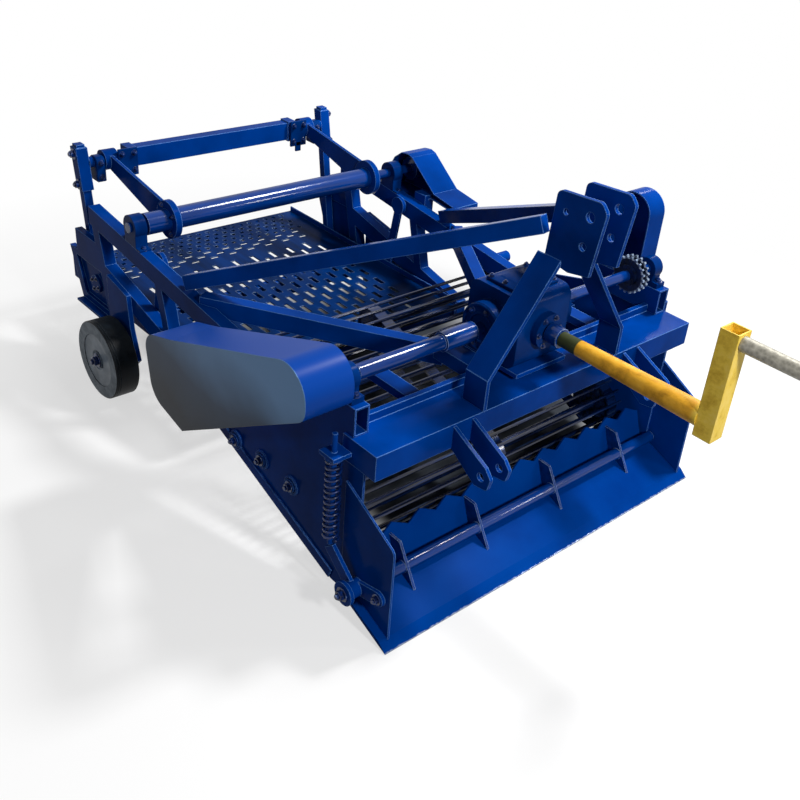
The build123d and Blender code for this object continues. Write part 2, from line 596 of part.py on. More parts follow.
# Rod chain: three webs round two rollers, rods across them
run_dx = FRONT_ROLL[0] - HEAD_ROLL[0]
run_dz = FRONT_ROLL[1] - HEAD_ROLL[1]
run_len = hypot(run_dx, run_dz)
run_turn = atan2(run_dz, run_dx)


def loop_point(t, lift):
    """Point and outward angle at distance t along the loop, lift outside the rollers."""
    r0 = FRONT_ROLL_R + lift
    r1 = HEAD_ROLL_R + lift
    straight = (run_len ** 2 - (r0 - r1) ** 2) ** 0.5
    skew = atan2(r0 - r1, straight)
    top_angle = run_turn + pi / 2 + skew
    low_angle = run_turn - pi / 2 - skew
    arc0 = (pi + 2 * skew) * r0
    arc1 = (pi - 2 * skew) * r1
    total = 2 * straight + arc0 + arc1
    t = t % total
    top0 = (FRONT_ROLL[0] + r0 * cos(top_angle), FRONT_ROLL[1] + r0 * sin(top_angle))
    top1 = (HEAD_ROLL[0] + r1 * cos(top_angle), HEAD_ROLL[1] + r1 * sin(top_angle))
    low0 = (FRONT_ROLL[0] + r0 * cos(low_angle), FRONT_ROLL[1] + r0 * sin(low_angle))
    low1 = (HEAD_ROLL[0] + r1 * cos(low_angle), HEAD_ROLL[1] + r1 * sin(low_angle))
    if t < straight:
        share = t / straight
        return (top0[0] + share * (top1[0] - top0[0]), top0[1] + share * (top1[1] - top0[1])), total
    t -= straight
    if t < arc1:
        turn = top_angle + t / r1
        return (HEAD_ROLL[0] + r1 * cos(turn), HEAD_ROLL[1] + r1 * sin(turn)), total
    t -= arc1
    if t < straight:
        share = t / straight
        return (low1[0] + share * (low0[0] - low1[0]), low1[1] + share * (low0[1] - low1[1])), total
    t -= straight
    turn = low_angle + t / r0
    return (FRONT_ROLL[0] + r0 * cos(turn), FRONT_ROLL[1] + r0 * sin(turn)), total


web_ring = make_hull((Pos(*FRONT_ROLL) * Circle(FRONT_ROLL_R + WEB_THICK)).edges()
                     + (Pos(*HEAD_ROLL) * Circle(HEAD_ROLL_R + WEB_THICK)).edges())
web_ring -= make_hull((Pos(*FRONT_ROLL) * Circle(FRONT_ROLL_R)).edges()
                      + (Pos(*HEAD_ROLL) * Circle(HEAD_ROLL_R)).edges())
webs = [Pos(0, y_web + WEB_WIDE / 2, 0) * Rot(90, 0, 0) * extrude(web_ring, WEB_WIDE) for y_web in WEB_Y]
chain = webs[0]
for web in webs[1:]:
    chain += web
rod_lift = WEB_THICK + ROD_R - 3
loop_total = loop_point(0, rod_lift)[1]
rod_count = int(loop_total / ROD_PITCH)
rods = []
for k in range(rod_count):
    (x_rod, z_rod), _ = loop_point(k * loop_total / rod_count, rod_lift)
    rod_end = Pos(x_rod, CHAIN_HALF, z_rod) * Rot(90, 0, 0)
    rods.append(rod_end * extrude(RegularPolygon(ROD_R, 6), 2 * CHAIN_HALF))
chain = chain.fuse(*rods)
nodes["elevator_chain"] = chain

# Rollers and their shafts
rollers = []
for centre, radius in ((FRONT_ROLL, FRONT_ROLL_R), (HEAD_ROLL, HEAD_ROLL_R)):
    shaft = rod_y(*centre, 17, -FRAME_OUT + SIDE_THICK, FRAME_OUT - SIDE_THICK)
    for y_web in WEB_Y:
        shaft += rod_y(*centre, radius - 0.3, y_web - 20, y_web + 20)
    rollers.append(shaft)
nodes["elevator_rollers"] = Compound(children=rollers)

# Sieve deck with slots, its walls and cross bars
cuts = []
for zone in SLOTS:
    row_count = int((zone["x0"] - zone["x1"]) / zone["pitch_x"]) + 1
    for row in range(row_count):
        x_slot = zone["x0"] - row * zone["pitch_x"]
        count_y = int((2 * DECK_HALF - 2 * SLOT_EDGE) / zone["pitch_y"]) - row % 2
        for k in range(count_y):
            y_slot = (k - (count_y - 1) / 2) * zone["pitch_y"]
            cuts.append(Pos(x_slot, y_slot, DECK_Z) * Rectangle(zone["along_x"], zone["along_y"]))
deck_mid = Pos((DECK_X[0] + DECK_X[1]) / 2, 0, DECK_Z)
deck = extrude(deck_mid * Rectangle(DECK_X[1] - DECK_X[0], 2 * DECK_HALF) - cuts, DECK_THICK)
nodes["sieve_deck"] = deck

wall = box(DECK_X[0], DECK_X[1], -DECK_HALF - SIEVE_WALL, -DECK_HALF, DECK_Z - SIEVE_WALL_LOW,
           DECK_Z + SIEVE_WALL_HIGH)
sieve = wall + flip(wall)
for x_bar in SIEVE_BARS_X:
    sieve += box(x_bar - 20, x_bar + 20, -DECK_HALF, DECK_HALF, DECK_Z - SIEVE_WALL_LOW, DECK_Z)
nodes["sieve_frame"] = sieve

# Posts on the sieve with sleeves, and the cross tube they carry
post_lean = (POST_TOP[0] - POST_FOOT[0]) / (POST_TOP[1] - POST_FOOT[1])


def post_x(z):
    return POST_FOOT[0] + post_lean * (z - POST_FOOT[1])


half = POST_SIZE / 2
post_y0 = -DECK_HALF - SIEVE_WALL - POST_SIZE
post = slab([(POST_FOOT[0] - half, POST_FOOT[1] - 60), (POST_FOOT[0] + half, POST_FOOT[1] - 60),
             (post_x(POST_TOP[1]) + half, POST_TOP[1]), (post_x(POST_TOP[1]) - half, POST_TOP[1])],
            post_y0, -DECK_HALF - SIEVE_WALL)
wide = SLEEVE_SIZE / 2
post += slab([(post_x(SLEEVE_LOW_Z) - wide, SLEEVE_LOW_Z), (post_x(SLEEVE_LOW_Z) + wide, SLEEVE_LOW_Z),
              (post_x(POST_TOP[1]) + wide, POST_TOP[1] - 12), (post_x(POST_TOP[1]) - wide, POST_TOP[1] - 12)],
             post_y0 - 7, -DECK_HALF - SIEVE_WALL + 7)
tube = box(CROSS_X - CROSS_DEEP / 2, CROSS_X + CROSS_DEEP / 2, -CROSS_HALF, CROSS_HALF,
           CROSS_Z - CROSS_HIGH / 2, CROSS_Z + CROSS_HIGH / 2)
for sign in (-1, 1):
    tube += box(CROSS_X - CROSS_DEEP / 2 - 6, CROSS_X + CROSS_DEEP / 2 + 6, sign * CROSS_HALF,
                sign * (CROSS_HALF + 40), CROSS_Z - CROSS_HIGH / 2 - 6, CROSS_Z + CROSS_HIGH / 2 + 6)
tube += rod_y(CROSS_X, CROSS_Z, STUB_R, -DECK_HALF - SIEVE_WALL + 7, DECK_HALF + SIEVE_WALL - 7)
nodes["shaker_cross_tube"] = tube
nodes["sieve_posts"] = Compound(children=[post, flip(post)])

# Shaker rods from the shaker shaft to the cross tube
rod_face = slab([(SHAKER_X - 20, SHAKER_Z + ROD_WIDE / 2), (CROSS_X, CROSS_Z + ROD_NARROW / 2),
                 (CROSS_X, CROSS_Z - ROD_NARROW / 2), (SHAKER_X - 20, SHAKER_Z - ROD_WIDE / 2)],
                -ROD_Y - 7, -ROD_Y + 7)
conrod = rod_face + rod_y(SHAKER_X, SHAKER_Z, BIG_END_R, -ROD_Y - ROD_THICK / 2, -ROD_Y + ROD_THICK / 2)
conrod += rod_y(CROSS_X, CROSS_Z, SMALL_END_R, -ROD_Y - 30, -ROD_Y + 30)
conrod -= rod_y(SHAKER_X, SHAKER_Z, SHAKER_R + RUN_GAP, -ROD_Y - 40, -ROD_Y + 40)
conrod -= rod_y(CROSS_X, CROSS_Z, STUB_R, -ROD_Y - 40, -ROD_Y + 40)
nodes["shaker_rods"] = Compound(children=[conrod, flip(conrod)])

# Hangers that carry the sieve from the side rails
strap_low = (HANGER_LOW[0], -HANGER_Y, HANGER_LOW[1])
hanger = bar(strap_low, (HANGER_TOP[0], -HANGER_Y, HANGER_TOP[1]), HANGER_THICK, 44)
hanger += rod_y(*HANGER_TOP, HANGER_BOSS_R, -HANGER_Y - HANGER_THICK / 2, -HANGER_Y + HANGER_THICK / 2 + 8)
hanger += rod_y(*HANGER_TOP, 14, -TRUSS_IN, -HANGER_Y)
hanger += rod_y(*HANGER_LOW, 14, -HANGER_Y, -DECK_HALF - SIEVE_WALL)
nodes["sieve_hangers"] = Compound(children=[hanger, flip(hanger)])

# Shaker shaft and pulley
shaker = rod_y(SHAKER_X, SHAKER_Z, SHAKER_R, SHAKER_RIGHT, SHAKER_LEFT)
shaker += rod_y(SHAKER_X, SHAKER_Z, SHAKER_STUB_R, -TRUSS_OUT - 8, PULLEY_Y + PULLEY_WIDE / 2)
nodes["shaker_shaft"] = shaker
pulley = rod_y(SHAKER_X, SHAKER_Z, PULLEY_R, PULLEY_Y - PULLEY_WIDE / 2, PULLEY_Y + PULLEY_WIDE / 2)
pulley -= rod_y(SHAKER_X, SHAKER_Z, SHAKER_STUB_R, PULLEY_Y - 40, PULLEY_Y + 40)
nodes["shaker_pulley"] = pulley

# Rear wheels, the tyres in narrow flats that keep their mesh light
flats_outer = RegularPolygon(WHEEL_R, TYRE_FLATS, major_radius=False, rotation=180 / TYRE_FLATS)
flats_inner = RegularPolygon(RIM_R, TYRE_FLATS, major_radius=False, rotation=180 / TYRE_FLATS)
wheel_in = -WHEEL_OUT_Y + WHEEL_WIDE
tyre = Pos(WHEEL_X, wheel_in, wheel_z) * Rot(90, 0, 0) * extrude(flats_outer - flats_inner, WHEEL_WIDE)
disc_face = -WHEEL_OUT_Y + DISC_SET
rim_disc = Pos(WHEEL_X, wheel_in - DISC_SET, wheel_z) * Rot(90, 0, 0) * extrude(
    flats_inner, WHEEL_WIDE - 2 * DISC_SET)
rim_disc += rod_y(WHEEL_X, wheel_z, WHEEL_HUB_R, -WHEEL_OUT_Y + 2, disc_face)
rim_disc -= rod_y(WHEEL_X, wheel_z, AXLE_R + RUN_GAP, -WHEEL_OUT_Y - 1, -WHEEL_OUT_Y + WHEEL_WIDE + 1)
pair("wheel_tyre", tyre)
pair("wheel_disc", rim_disc)

# Origin at the middle of the footprint, on the floor
boxes = [shape.bounding_box() for shape in nodes.values()]
x_mid = (min(b.min.X for b in boxes) + max(b.max.X for b in boxes)) / 2
y_mid = (min(b.min.Y for b in boxes) + max(b.max.Y for b in boxes)) / 2
z_low = min(b.min.Z for b in boxes)
os.makedirs("parts", exist_ok=True)
for name, shape in nodes.items():
    export_step(Pos(-x_mid, -y_mid, -z_low) * shape, "parts/" + name + ".step")
print("shift", round(-x_mid, 4), round(-y_mid, 4), round(-z_low, 4), "nodes", len(nodes))
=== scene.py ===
import math

import bpy
from mathutils import Matrix, Vector


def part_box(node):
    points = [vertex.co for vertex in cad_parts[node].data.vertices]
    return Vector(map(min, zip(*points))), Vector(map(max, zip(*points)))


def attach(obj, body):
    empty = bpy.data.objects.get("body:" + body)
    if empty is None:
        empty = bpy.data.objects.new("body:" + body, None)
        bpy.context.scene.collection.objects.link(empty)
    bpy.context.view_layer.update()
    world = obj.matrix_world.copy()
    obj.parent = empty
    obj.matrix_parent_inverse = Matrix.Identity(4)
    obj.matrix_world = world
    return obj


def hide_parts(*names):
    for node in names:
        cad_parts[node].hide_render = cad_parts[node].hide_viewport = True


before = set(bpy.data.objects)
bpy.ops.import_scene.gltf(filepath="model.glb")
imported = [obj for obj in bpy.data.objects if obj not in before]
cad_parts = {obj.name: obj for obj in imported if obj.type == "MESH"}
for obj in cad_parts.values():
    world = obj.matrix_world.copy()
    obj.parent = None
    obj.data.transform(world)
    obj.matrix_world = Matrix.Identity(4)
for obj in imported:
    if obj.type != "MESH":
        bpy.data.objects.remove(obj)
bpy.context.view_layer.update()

# Frame steelwork: beam, side plates, rails, mast, stays and brackets, sawn and flame-cut from
# rolled steel, welded up and sprayed in one deep blue coat after assembly.
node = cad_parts


def hue(text):
    """Linear colour of an sRGB hex value."""
    parts = [int(text[k:k + 2], 16) / 255 for k in (1, 3, 5)]
    return tuple(p / 12.92 if p <= 0.04045 else ((p + 0.055) / 1.055) ** 2.4 for p in parts) + (1.0,)


def put(tree, kind, values, links=()):
    """Adds a node, sets its sockets, settings and colour stops, and links other nodes into it."""
    made = tree.nodes.new(kind)
    for key, value in values.items():
        if key == "stops":
            for k, (spot, text) in enumerate(value):
                if k > 1:
                    made.color_ramp.elements.new(spot)
                made.color_ramp.elements[k].position = spot
                made.color_ramp.elements[k].color = hue(text)
        elif isinstance(key, int) or key in made.inputs:
            made.inputs[key].default_value = value
        else:
            setattr(made, key, value)
    for socket, source, output in links:
        tree.links.new(source.outputs[output], made.inputs[socket])
    return made


def started(name):
    """A new material and its empty node tree."""
    finish = bpy.data.materials.new(name)
    finish.use_nodes = True
    finish.node_tree.nodes.clear()
    return finish, finish.node_tree


def per_metre(size_mm):
    """Scale of a pattern whose marks are that many millimetres across."""
    return 1000 / size_mm


def dress(names, finish):
    """Gives CAD nodes a finish."""
    for name in names:
        node[name].data.materials.clear()
        node[name].data.materials.append(finish)


# Sprayed machine enamel: a thick alkyd coat. It gives the eye a deep blue that drifts in shade over
# 250 mm, a faint orange peel of 4 mm, which is drawn coarser than the real 1 mm so that it shows,
# and pale thin lines on the edges, which are a painted highlight. Its gloss is far below an enamel's,
# as the white surround would otherwise veil the blue.
blue_enamel, tree = started("blue_machine_enamel")
place = put(tree, "ShaderNodeTexCoord", {})
drift = put(tree, "ShaderNodeTexNoise", {"Scale": per_metre(250), "Detail": 5.0}, [("Vector", place, "Object")])
shade = put(tree, "ShaderNodeValToRGB", {"stops": [(0.30, "#002C70"), (0.72, "#00409C")]},
            [("Fac", drift, "Fac")])
edge = put(tree, "ShaderNodeBevel", {"samples": 4, "Radius": 0.0045})
facing = put(tree, "ShaderNodeNewGeometry", {})
turned = put(tree, "ShaderNodeVectorMath", {"operation": "DOT_PRODUCT"},
             [(0, edge, "Normal"), (1, facing, "Normal")])
# Painted highlight: the edges are lightened where the bevelled normal turns from the face's own.
rim = put(tree, "ShaderNodeMapRange", {"From Min": 0.995, "From Max": 0.90, "To Max": 0.85},
          [("Value", turned, "Value")])
edge_highlight_tone = put(tree, "ShaderNodeMix", {"data_type": "RGBA", 7: hue("#6C9FE6")},
           [(0, rim, "Result"), (6, shade, "Color")])
peel = put(tree, "ShaderNodeTexNoise", {"Scale": per_metre(4.1667), "Detail": 2.0}, [("Vector", place, "Object")])
ripple = put(tree, "ShaderNodeBump", {"Strength": 0.05, "Distance": 0.002},
             [("Height", peel, "Fac"), ("Normal", edge, "Normal")])
gloss = put(tree, "ShaderNodeMapRange", {"To Min": 0.10, "To Max": 0.26}, [("Value", drift, "Fac")])
skin = put(tree, "ShaderNodeBsdfPrincipled", {"Specular IOR Level": 0.011},
           [("Base Color", edge_highlight_tone, 2), ("Roughness", gloss, "Result"), ("Normal", ripple, "Normal")])
put(tree, "ShaderNodeOutputMaterial", {}, [("Surface", skin, "BSDF")])
dress(sorted(node), blue_enamel)

# Fixings: hexagon bolts with round washers, zinc-plated and then sprayed over with the machine,
# so that only their corners stay bright. One is modelled and copied to every hole.
LIP_HIGH = 0.028
BOLT_R = 0.0105
BOLT_HEAD = 0.0085
BOLT_BREAK = 0.0011
WASHER_R = 0.0150
WASHER_THICK = 0.0030
WASHER_BREAK = 0.0008
STUD_R = 0.0058
STUD_LONG = 0.0050
STUD_SINK = 0.0005
STUD_BREAK = 0.0010
SHARP = math.radians(40)
# Places in millimetres along X and Z, from the middle of the beam's front top edge.
ROLLER_AXLES = [(-741, -357), (-582, -349), (-414, -355)]
BLADE_PIVOT = [(-40, -517)]
LINK_END = [(62, -492)]
REAR_FLANGE = (-1953, -284)
REAR_FLANGE_Y = 668
REAR_FLANGE_RING = dict(radius=0.027, count=4, size=0.62, start=0.4)
SHAFT_FEET = [(-250, 118), (-150, 118)]
RAIL_SLOPE = 0.11
RAIL_END = (-1955, 62)
SHAKER_FEET = [(x, RAIL_END[1] - RAIL_SLOPE * (x - RAIL_END[0])) for x in (-1666, -1554)]
POST_KNOBS = [(-2109, 226), (-2089, 104)]
TUBE_CLAMP = [(-2065, 152), (-2065, 220)]
SHAKER_AXIS = (-1610, 95)
ARM_BOLTS_R = 60
ARM_TURNS = (0.5, 2.1, 3.7, 5.3)
ARM_BOLTS = [(SHAKER_AXIS[0] + ARM_BOLTS_R * math.cos(turn), SHAKER_AXIS[1] + ARM_BOLTS_R * math.sin(turn))
             for turn in ARM_TURNS]
beam_low, beam_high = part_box("main_beam")
ZERO = (beam_high[0], (beam_low[1] + beam_high[1]) / 2, beam_high[2] - LIP_HIGH)


def at(x, y, z):
    """Millimetres from the middle of the beam's front top edge, as a place in the frame."""
    return Vector((ZERO[0] + x / 1000, ZERO[1] + y / 1000, ZERO[2] + z / 1000))


def chamfered(piece, width, segments=1):
    """Breaks the sharp edges of a piece by that width."""
    cut = piece.modifiers.new("broken_edges", "BEVEL")
    cut.width = width
    cut.segments = segments
    cut.limit_method = "ANGLE"
    cut.angle_limit = SHARP
    bpy.context.view_layer.objects.active = piece
    bpy.ops.object.modifier_apply(modifier="broken_edges")


def joined(pieces, name):
    """One object from several, its place in its mesh."""
    bpy.ops.object.select_all(action="DESELECT")
    for piece in pieces:
        piece.select_set(True)
    bpy.context.view_layer.objects.active = pieces[0]
    if len(pieces) > 1:
        bpy.ops.object.join()
    whole = bpy.context.view_layer.objects.active
    bpy.ops.object.transform_apply(location=True, rotation=True, scale=True)
    whole.name = name
    return whole


def settled(piece, body, finish):
    """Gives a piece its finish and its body."""
    piece.data.materials.clear()
    piece.data.materials.append(finish)
    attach(piece, body)


# Zinc under overspray: it gives the eye dark blue heads with pale bare specks about 11 mm apart.
fixing_coat, tree = started("oversprayed_zinc_bolt")
place = put(tree, "ShaderNodeTexCoord", {})
speck = put(tree, "ShaderNodeTexNoise", {"Scale": per_metre(11.111), "Detail": 3.0}, [("Vector", place, "Object")])
coat = put(tree, "ShaderNodeValToRGB", {"stops": [(0.42, "#001440"), (0.62, "#0A3278"), (0.74, "#6C84A8")]},
           [("Fac", speck, "Fac")])
bare = put(tree, "ShaderNodeMapRange", {"From Min": 0.62, "From Max": 0.74, "To Max": 0.8},
           [("Value", speck, "Fac")])
skin = put(tree, "ShaderNodeBsdfPrincipled", {"Roughness": 0.28, "Specular IOR Level": 0.4},
           [("Base Color", coat, "Color"), ("Metallic", bare, "Result")])
put(tree, "ShaderNodeOutputMaterial", {}, [("Surface", skin, "BSDF")])

bolt_parts = []
stud_base = WASHER_THICK + BOLT_HEAD - STUD_SINK
for sides, radius, deep, base, broken in (
        (18, WASHER_R, WASHER_THICK, 0, WASHER_BREAK),
        (6, BOLT_R, BOLT_HEAD, WASHER_THICK, BOLT_BREAK),
        (10, STUD_R, STUD_LONG, stud_base, STUD_BREAK)):
    bpy.ops.object.select_all(action="DESELECT")
    bpy.ops.mesh.primitive_cylinder_add(vertices=sides, radius=radius, depth=deep, location=(0, 0, base + deep / 2))
    bolt_parts.append(bpy.context.object)
    chamfered(bolt_parts[-1], broken)
bolt_model = joined(bolt_parts, "bolt_model")


def bolted(name, body, seats):
    """Copies the bolt to each seat (place, way out, size) and joins the copies."""
    copies = []
    for seat, way, size in seats:
        one = bolt_model.copy()
        one.data = bolt_model.data.copy()
        bpy.context.collection.objects.link(one)
        spin = Vector(way).to_track_quat("Z", "Y").to_matrix().to_4x4()
        one.matrix_world = Matrix.Translation(seat) @ spin @ Matrix.Scale(size, 4)
        copies.append(one)
    settled(joined(copies, name), body, fixing_coat)


def ring_seats(centre, way, radius, count, size, start):
    """Bolt seats on a circle about a centre, facing the way."""
    across = Vector(way).orthogonal().normalized()
    turns = [start + 2 * math.pi * k / count for k in range(count)]
    return [(centre + Matrix.Rotation(turn, 3, Vector(way)) @ across * radius, way, size) for turn in turns]


frame_seats = []
for side in (-1, 1):
    out = (0, side, 0)
    up = (0, 0, 1)
    rows = [
        dict(places=ROLLER_AXLES, y=769, way=out, size=1.35),
        dict(places=BLADE_PIVOT, y=829, way=out, size=1.7),
        dict(places=LINK_END, y=777, way=out, size=1.3),
        dict(places=SHAFT_FEET, y=729.5, way=up, size=1.0),
        dict(places=SHAKER_FEET, y=643, way=(RAIL_SLOPE, 0, 1), size=1.0),
        dict(places=POST_KNOBS, y=637, way=out, size=1.5),
        dict(places=TUBE_CLAMP, y=405, way=(1, 0, 0), size=0.9),
        dict(places=ARM_BOLTS, y=510, way=out, size=0.7),
    ]
    for row in rows:
        frame_seats += [(at(x, side * row["y"], z), row["way"], row["size"]) for x, z in row["places"]]
    flange = at(REAR_FLANGE[0], side * REAR_FLANGE_Y, REAR_FLANGE[1])
    frame_seats += ring_seats(flange, out, **REAR_FLANGE_RING)
bolted("frame_bolts", "frame", frame_seats)

# Gearbox: a cast-iron bevel box, fettled and sprayed with the frame. A milled cover, ring lands on
# its side flanges and a breather plug show on its skin, and bolts hold its cover and flanges.
CROSS_AXIS = (-200, 160)
FLANGE_Y = 175
FLANGE_RING = dict(radius=0.065, count=6, size=0.85, start=0.5)
INPUT_FACE_X = -57
INPUT_RING = dict(radius=0.051, count=6, size=0.7, start=0.3)
COVER_MID = (-202, 285)
COVER_SIZE = (0.150, 0.190, 0.010)
COVER_BREAK = 0.0025
COVER_BOLTS_X = (-264, -202, -140)
COVER_BOLTS = dict(y=82, z=295, size=0.8)
FLOOR_BOLT = dict(x=-360, y=150, z=22, size=1.1)
PAD_STEPS = ((0.030, 0.006), (0.004, 0.003))
RING_RADII = (0.079, 0.050)
RING_HALF = 0.0055
RING_STEPS = 48
PLUG_R = 0.016
PLUG_HIGH = 0.016
PLUG_Y = 40
PLUG_LIFT = 0.026
PLUG_BREAK = 0.003
SMOOTH = math.radians(35)
RING_SMOOTH = math.radians(30)
MERGE = 0.00005

# Sand-cast iron under enamel: it gives the eye a blue darker than the frame's, which is painted shade,
# with a grain of about 7 mm, drawn coarser than the real 1 mm so that it shows, and shade that drifts
# over 140 mm.
shade_darkened_cast_enamel, tree = started("enamelled_grey_iron_casting")
place = put(tree, "ShaderNodeTexCoord", {})
sand = put(tree, "ShaderNodeTexNoise", {"Scale": per_metre(6.6667), "Detail": 4.0, "Roughness": 0.6},
           [("Vector", place, "Object")])
drift = put(tree, "ShaderNodeTexNoise", {"Scale": per_metre(142.86), "Detail": 5.0}, [("Vector", place, "Object")])
shade = put(tree, "ShaderNodeValToRGB", {"stops": [(0.32, "#00225A"), (0.70, "#00367E")]},
            [("Fac", drift, "Fac")])
edge = put(tree, "ShaderNodeBevel", {"samples": 4, "Radius": 0.004})
grain = put(tree, "ShaderNodeBump", {"Strength": 0.22, "Distance": 0.002},
            [("Height", sand, "Fac"), ("Normal", edge, "Normal")])
skin = put(tree, "ShaderNodeBsdfPrincipled", {"Roughness": 0.22, "Specular IOR Level": 0.02},
           [("Base Color", shade, "Color"), ("Normal", grain, "Normal")])
put(tree, "ShaderNodeOutputMaterial", {}, [("Surface", skin, "BSDF")])
dress(["gearbox", "shaft_bearings"], shade_darkened_cast_enamel)


def block(size, place_at, turn=(0, 0, 0)):
    """A box of that size at a place, to be shaped."""
    bpy.ops.object.select_all(action="DESELECT")
    bpy.ops.mesh.primitive_cube_add(size=1, location=place_at, rotation=turn)
    made = bpy.context.object
    made.scale = size
    bpy.ops.object.transform_apply(location=False, rotation=True, scale=True)
    return made


def lathed(profile, steps, place_at):
    """A ring about Y: one point extruded round a profile of radius and place along Y, then spun."""
    bpy.ops.object.select_all(action="DESELECT")
    bpy.ops.mesh.primitive_plane_add(size=0.01, location=(0, 0, 0))
    made = bpy.context.object
    bpy.ops.object.mode_set(mode="EDIT")
    bpy.ops.mesh.select_mode(type="VERT")
    bpy.ops.mesh.select_all(action="SELECT")
    bpy.ops.mesh.merge(type="CENTER")
    bpy.ops.transform.translate(value=(0, profile[0][1], profile[0][0]))
    for (radius, along_y), (next_r, next_y) in zip(profile, profile[1:] + profile[:1]):
        bpy.ops.mesh.extrude_region_move(
            TRANSFORM_OT_translate={"value": (0, next_y - along_y, next_r - radius)})
    bpy.ops.mesh.select_all(action="SELECT")
    bpy.ops.mesh.remove_doubles(threshold=MERGE)
    bpy.ops.mesh.spin(steps=steps, angle=2 * math.pi, center=(0, 0, 0), axis=(0, 1, 0))
    bpy.ops.mesh.select_all(action="SELECT")
    bpy.ops.mesh.remove_doubles(threshold=MERGE)
    bpy.ops.mesh.normals_make_consistent(inside=False)
    bpy.ops.object.mode_set(mode="OBJECT")
    bpy.ops.object.shade_smooth_by_angle(angle=RING_SMOOTH)
    made.location = place_at
    return made


def land(radius, half, side):
    """Profile of a raised ring on one side: a flat land with sloped flanks, sunk in its seat."""
    return [(radius - half, -side * half), (radius - half, side * 0.4 * half), (radius - 0.5 * half, side * half),
            (radius + 0.5 * half, side * half), (radius + half, side * 0.4 * half), (radius + half, -side * half)]


cover = block(COVER_SIZE, at(COVER_MID[0], 0, COVER_MID[1]) + Vector((0, 0, COVER_SIZE[2] / 2)))
bpy.ops.object.mode_set(mode="EDIT")
bpy.ops.mesh.select_all(action="DESELECT")
bpy.ops.object.mode_set(mode="OBJECT")
for face in cover.data.polygons:
    face.select = face.normal.z > 0.9
bpy.ops.object.mode_set(mode="EDIT")
bpy.ops.mesh.select_mode(type="FACE")
for step_in, step_up in PAD_STEPS:
    bpy.ops.mesh.inset(thickness=step_in)
    bpy.ops.transform.translate(value=(0, 0, step_up))
bpy.ops.object.mode_set(mode="OBJECT")
chamfered(cover, COVER_BREAK, 2)
trim = [cover]
for side in (-1, 1):
    for ring_r in RING_RADII:
        seat = at(CROSS_AXIS[0], side * FLANGE_Y, CROSS_AXIS[1])
        trim.append(lathed(land(ring_r, RING_HALF, side), RING_STEPS, seat))
bpy.ops.mesh.primitive_cylinder_add(vertices=6, radius=PLUG_R, depth=PLUG_HIGH,
                                    location=at(COVER_MID[0], PLUG_Y, COVER_MID[1]) + Vector((0, 0, PLUG_LIFT)))
trim.append(bpy.context.object)
chamfered(trim[-1], PLUG_BREAK, 2)
trim = joined(trim, "gearbox_trim")
bpy.ops.object.shade_smooth_by_angle(angle=SMOOTH)
settled(trim, "frame", shade_darkened_cast_enamel)
gear_seats = []
for side in (-1, 1):
    flange = at(CROSS_AXIS[0], side * FLANGE_Y, CROSS_AXIS[1])
    gear_seats += ring_seats(flange, (0, side, 0), **FLANGE_RING)
    gear_seats += [(at(x, side * COVER_BOLTS["y"], COVER_BOLTS["z"]), (0, 0, 1), COVER_BOLTS["size"])
                   for x in COVER_BOLTS_X]
    gear_seats.append((at(FLOOR_BOLT["x"], side * FLOOR_BOLT["y"], FLOOR_BOLT["z"]), (0, 0, 1), FLOOR_BOLT["size"]))
gear_seats += ring_seats(at(INPUT_FACE_X, 0, CROSS_AXIS[1]), (1, 0, 0), **INPUT_RING)
bolted("gearbox_bolts", "frame", gear_seats)

# Digging blade: a bevelled alloy plate across the front, sprayed with the frame. Soil has rubbed
# a narrow line of its front edge bare. The lifter plate behind it has the same coat.
EDGE_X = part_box("digging_blade")[1][0]

# Enamel rubbed by soil: it gives the eye a flat deep blue that clouds over 290 mm, and a broken pale
# line at the edge, whose breaks are about 17 mm long.
blade_paint, tree = started("blade_enamel_worn_edge")
place = put(tree, "ShaderNodeTexCoord", {})
split = put(tree, "ShaderNodeSeparateXYZ", {}, [("Vector", place, "Object")])
rub = put(tree, "ShaderNodeTexNoise", {"Scale": per_metre(16.667), "Detail": 5.0}, [("Vector", place, "Object")])
reach = put(tree, "ShaderNodeMath", {"operation": "MULTIPLY_ADD", 1: 0.010}, [(0, rub, "Fac"), (2, split, "X")])
bare = put(tree, "ShaderNodeMapRange", {"From Min": EDGE_X + 0.0005, "From Max": EDGE_X + 0.004, "To Max": 0.7},
           [("Value", reach, "Value")])
film = put(tree, "ShaderNodeTexNoise", {"Scale": per_metre(285.71), "Detail": 6.0}, [("Vector", place, "Object")])
coat = put(tree, "ShaderNodeValToRGB", {"stops": [(0.30, "#002F7A"), (0.72, "#003F94")]}, [("Fac", film, "Fac")])
mixed = put(tree, "ShaderNodeMix", {"data_type": "RGBA", 7: hue("#A9B4C0")},
            [(0, bare, "Result"), (6, coat, "Color")])
edge = put(tree, "ShaderNodeBevel", {"samples": 4, "Radius": 0.002})
skin = put(tree, "ShaderNodeBsdfPrincipled", {"Roughness": 0.3, "Specular IOR Level": 0.004},
           [("Base Color", mixed, 2), ("Metallic", bare, "Result"), ("Normal", edge, "Normal")])
put(tree, "ShaderNodeOutputMaterial", {}, [("Surface", skin, "BSDF")])
dress(["digging_blade", "lifter_plate"], blade_paint)

# Rod chain and its rollers: spring-steel rods riveted to belts, polished by soil along their
# tops and dark with old paint between.
CHAIN_NODES = ["elevator_chain", "elevator_rollers"]

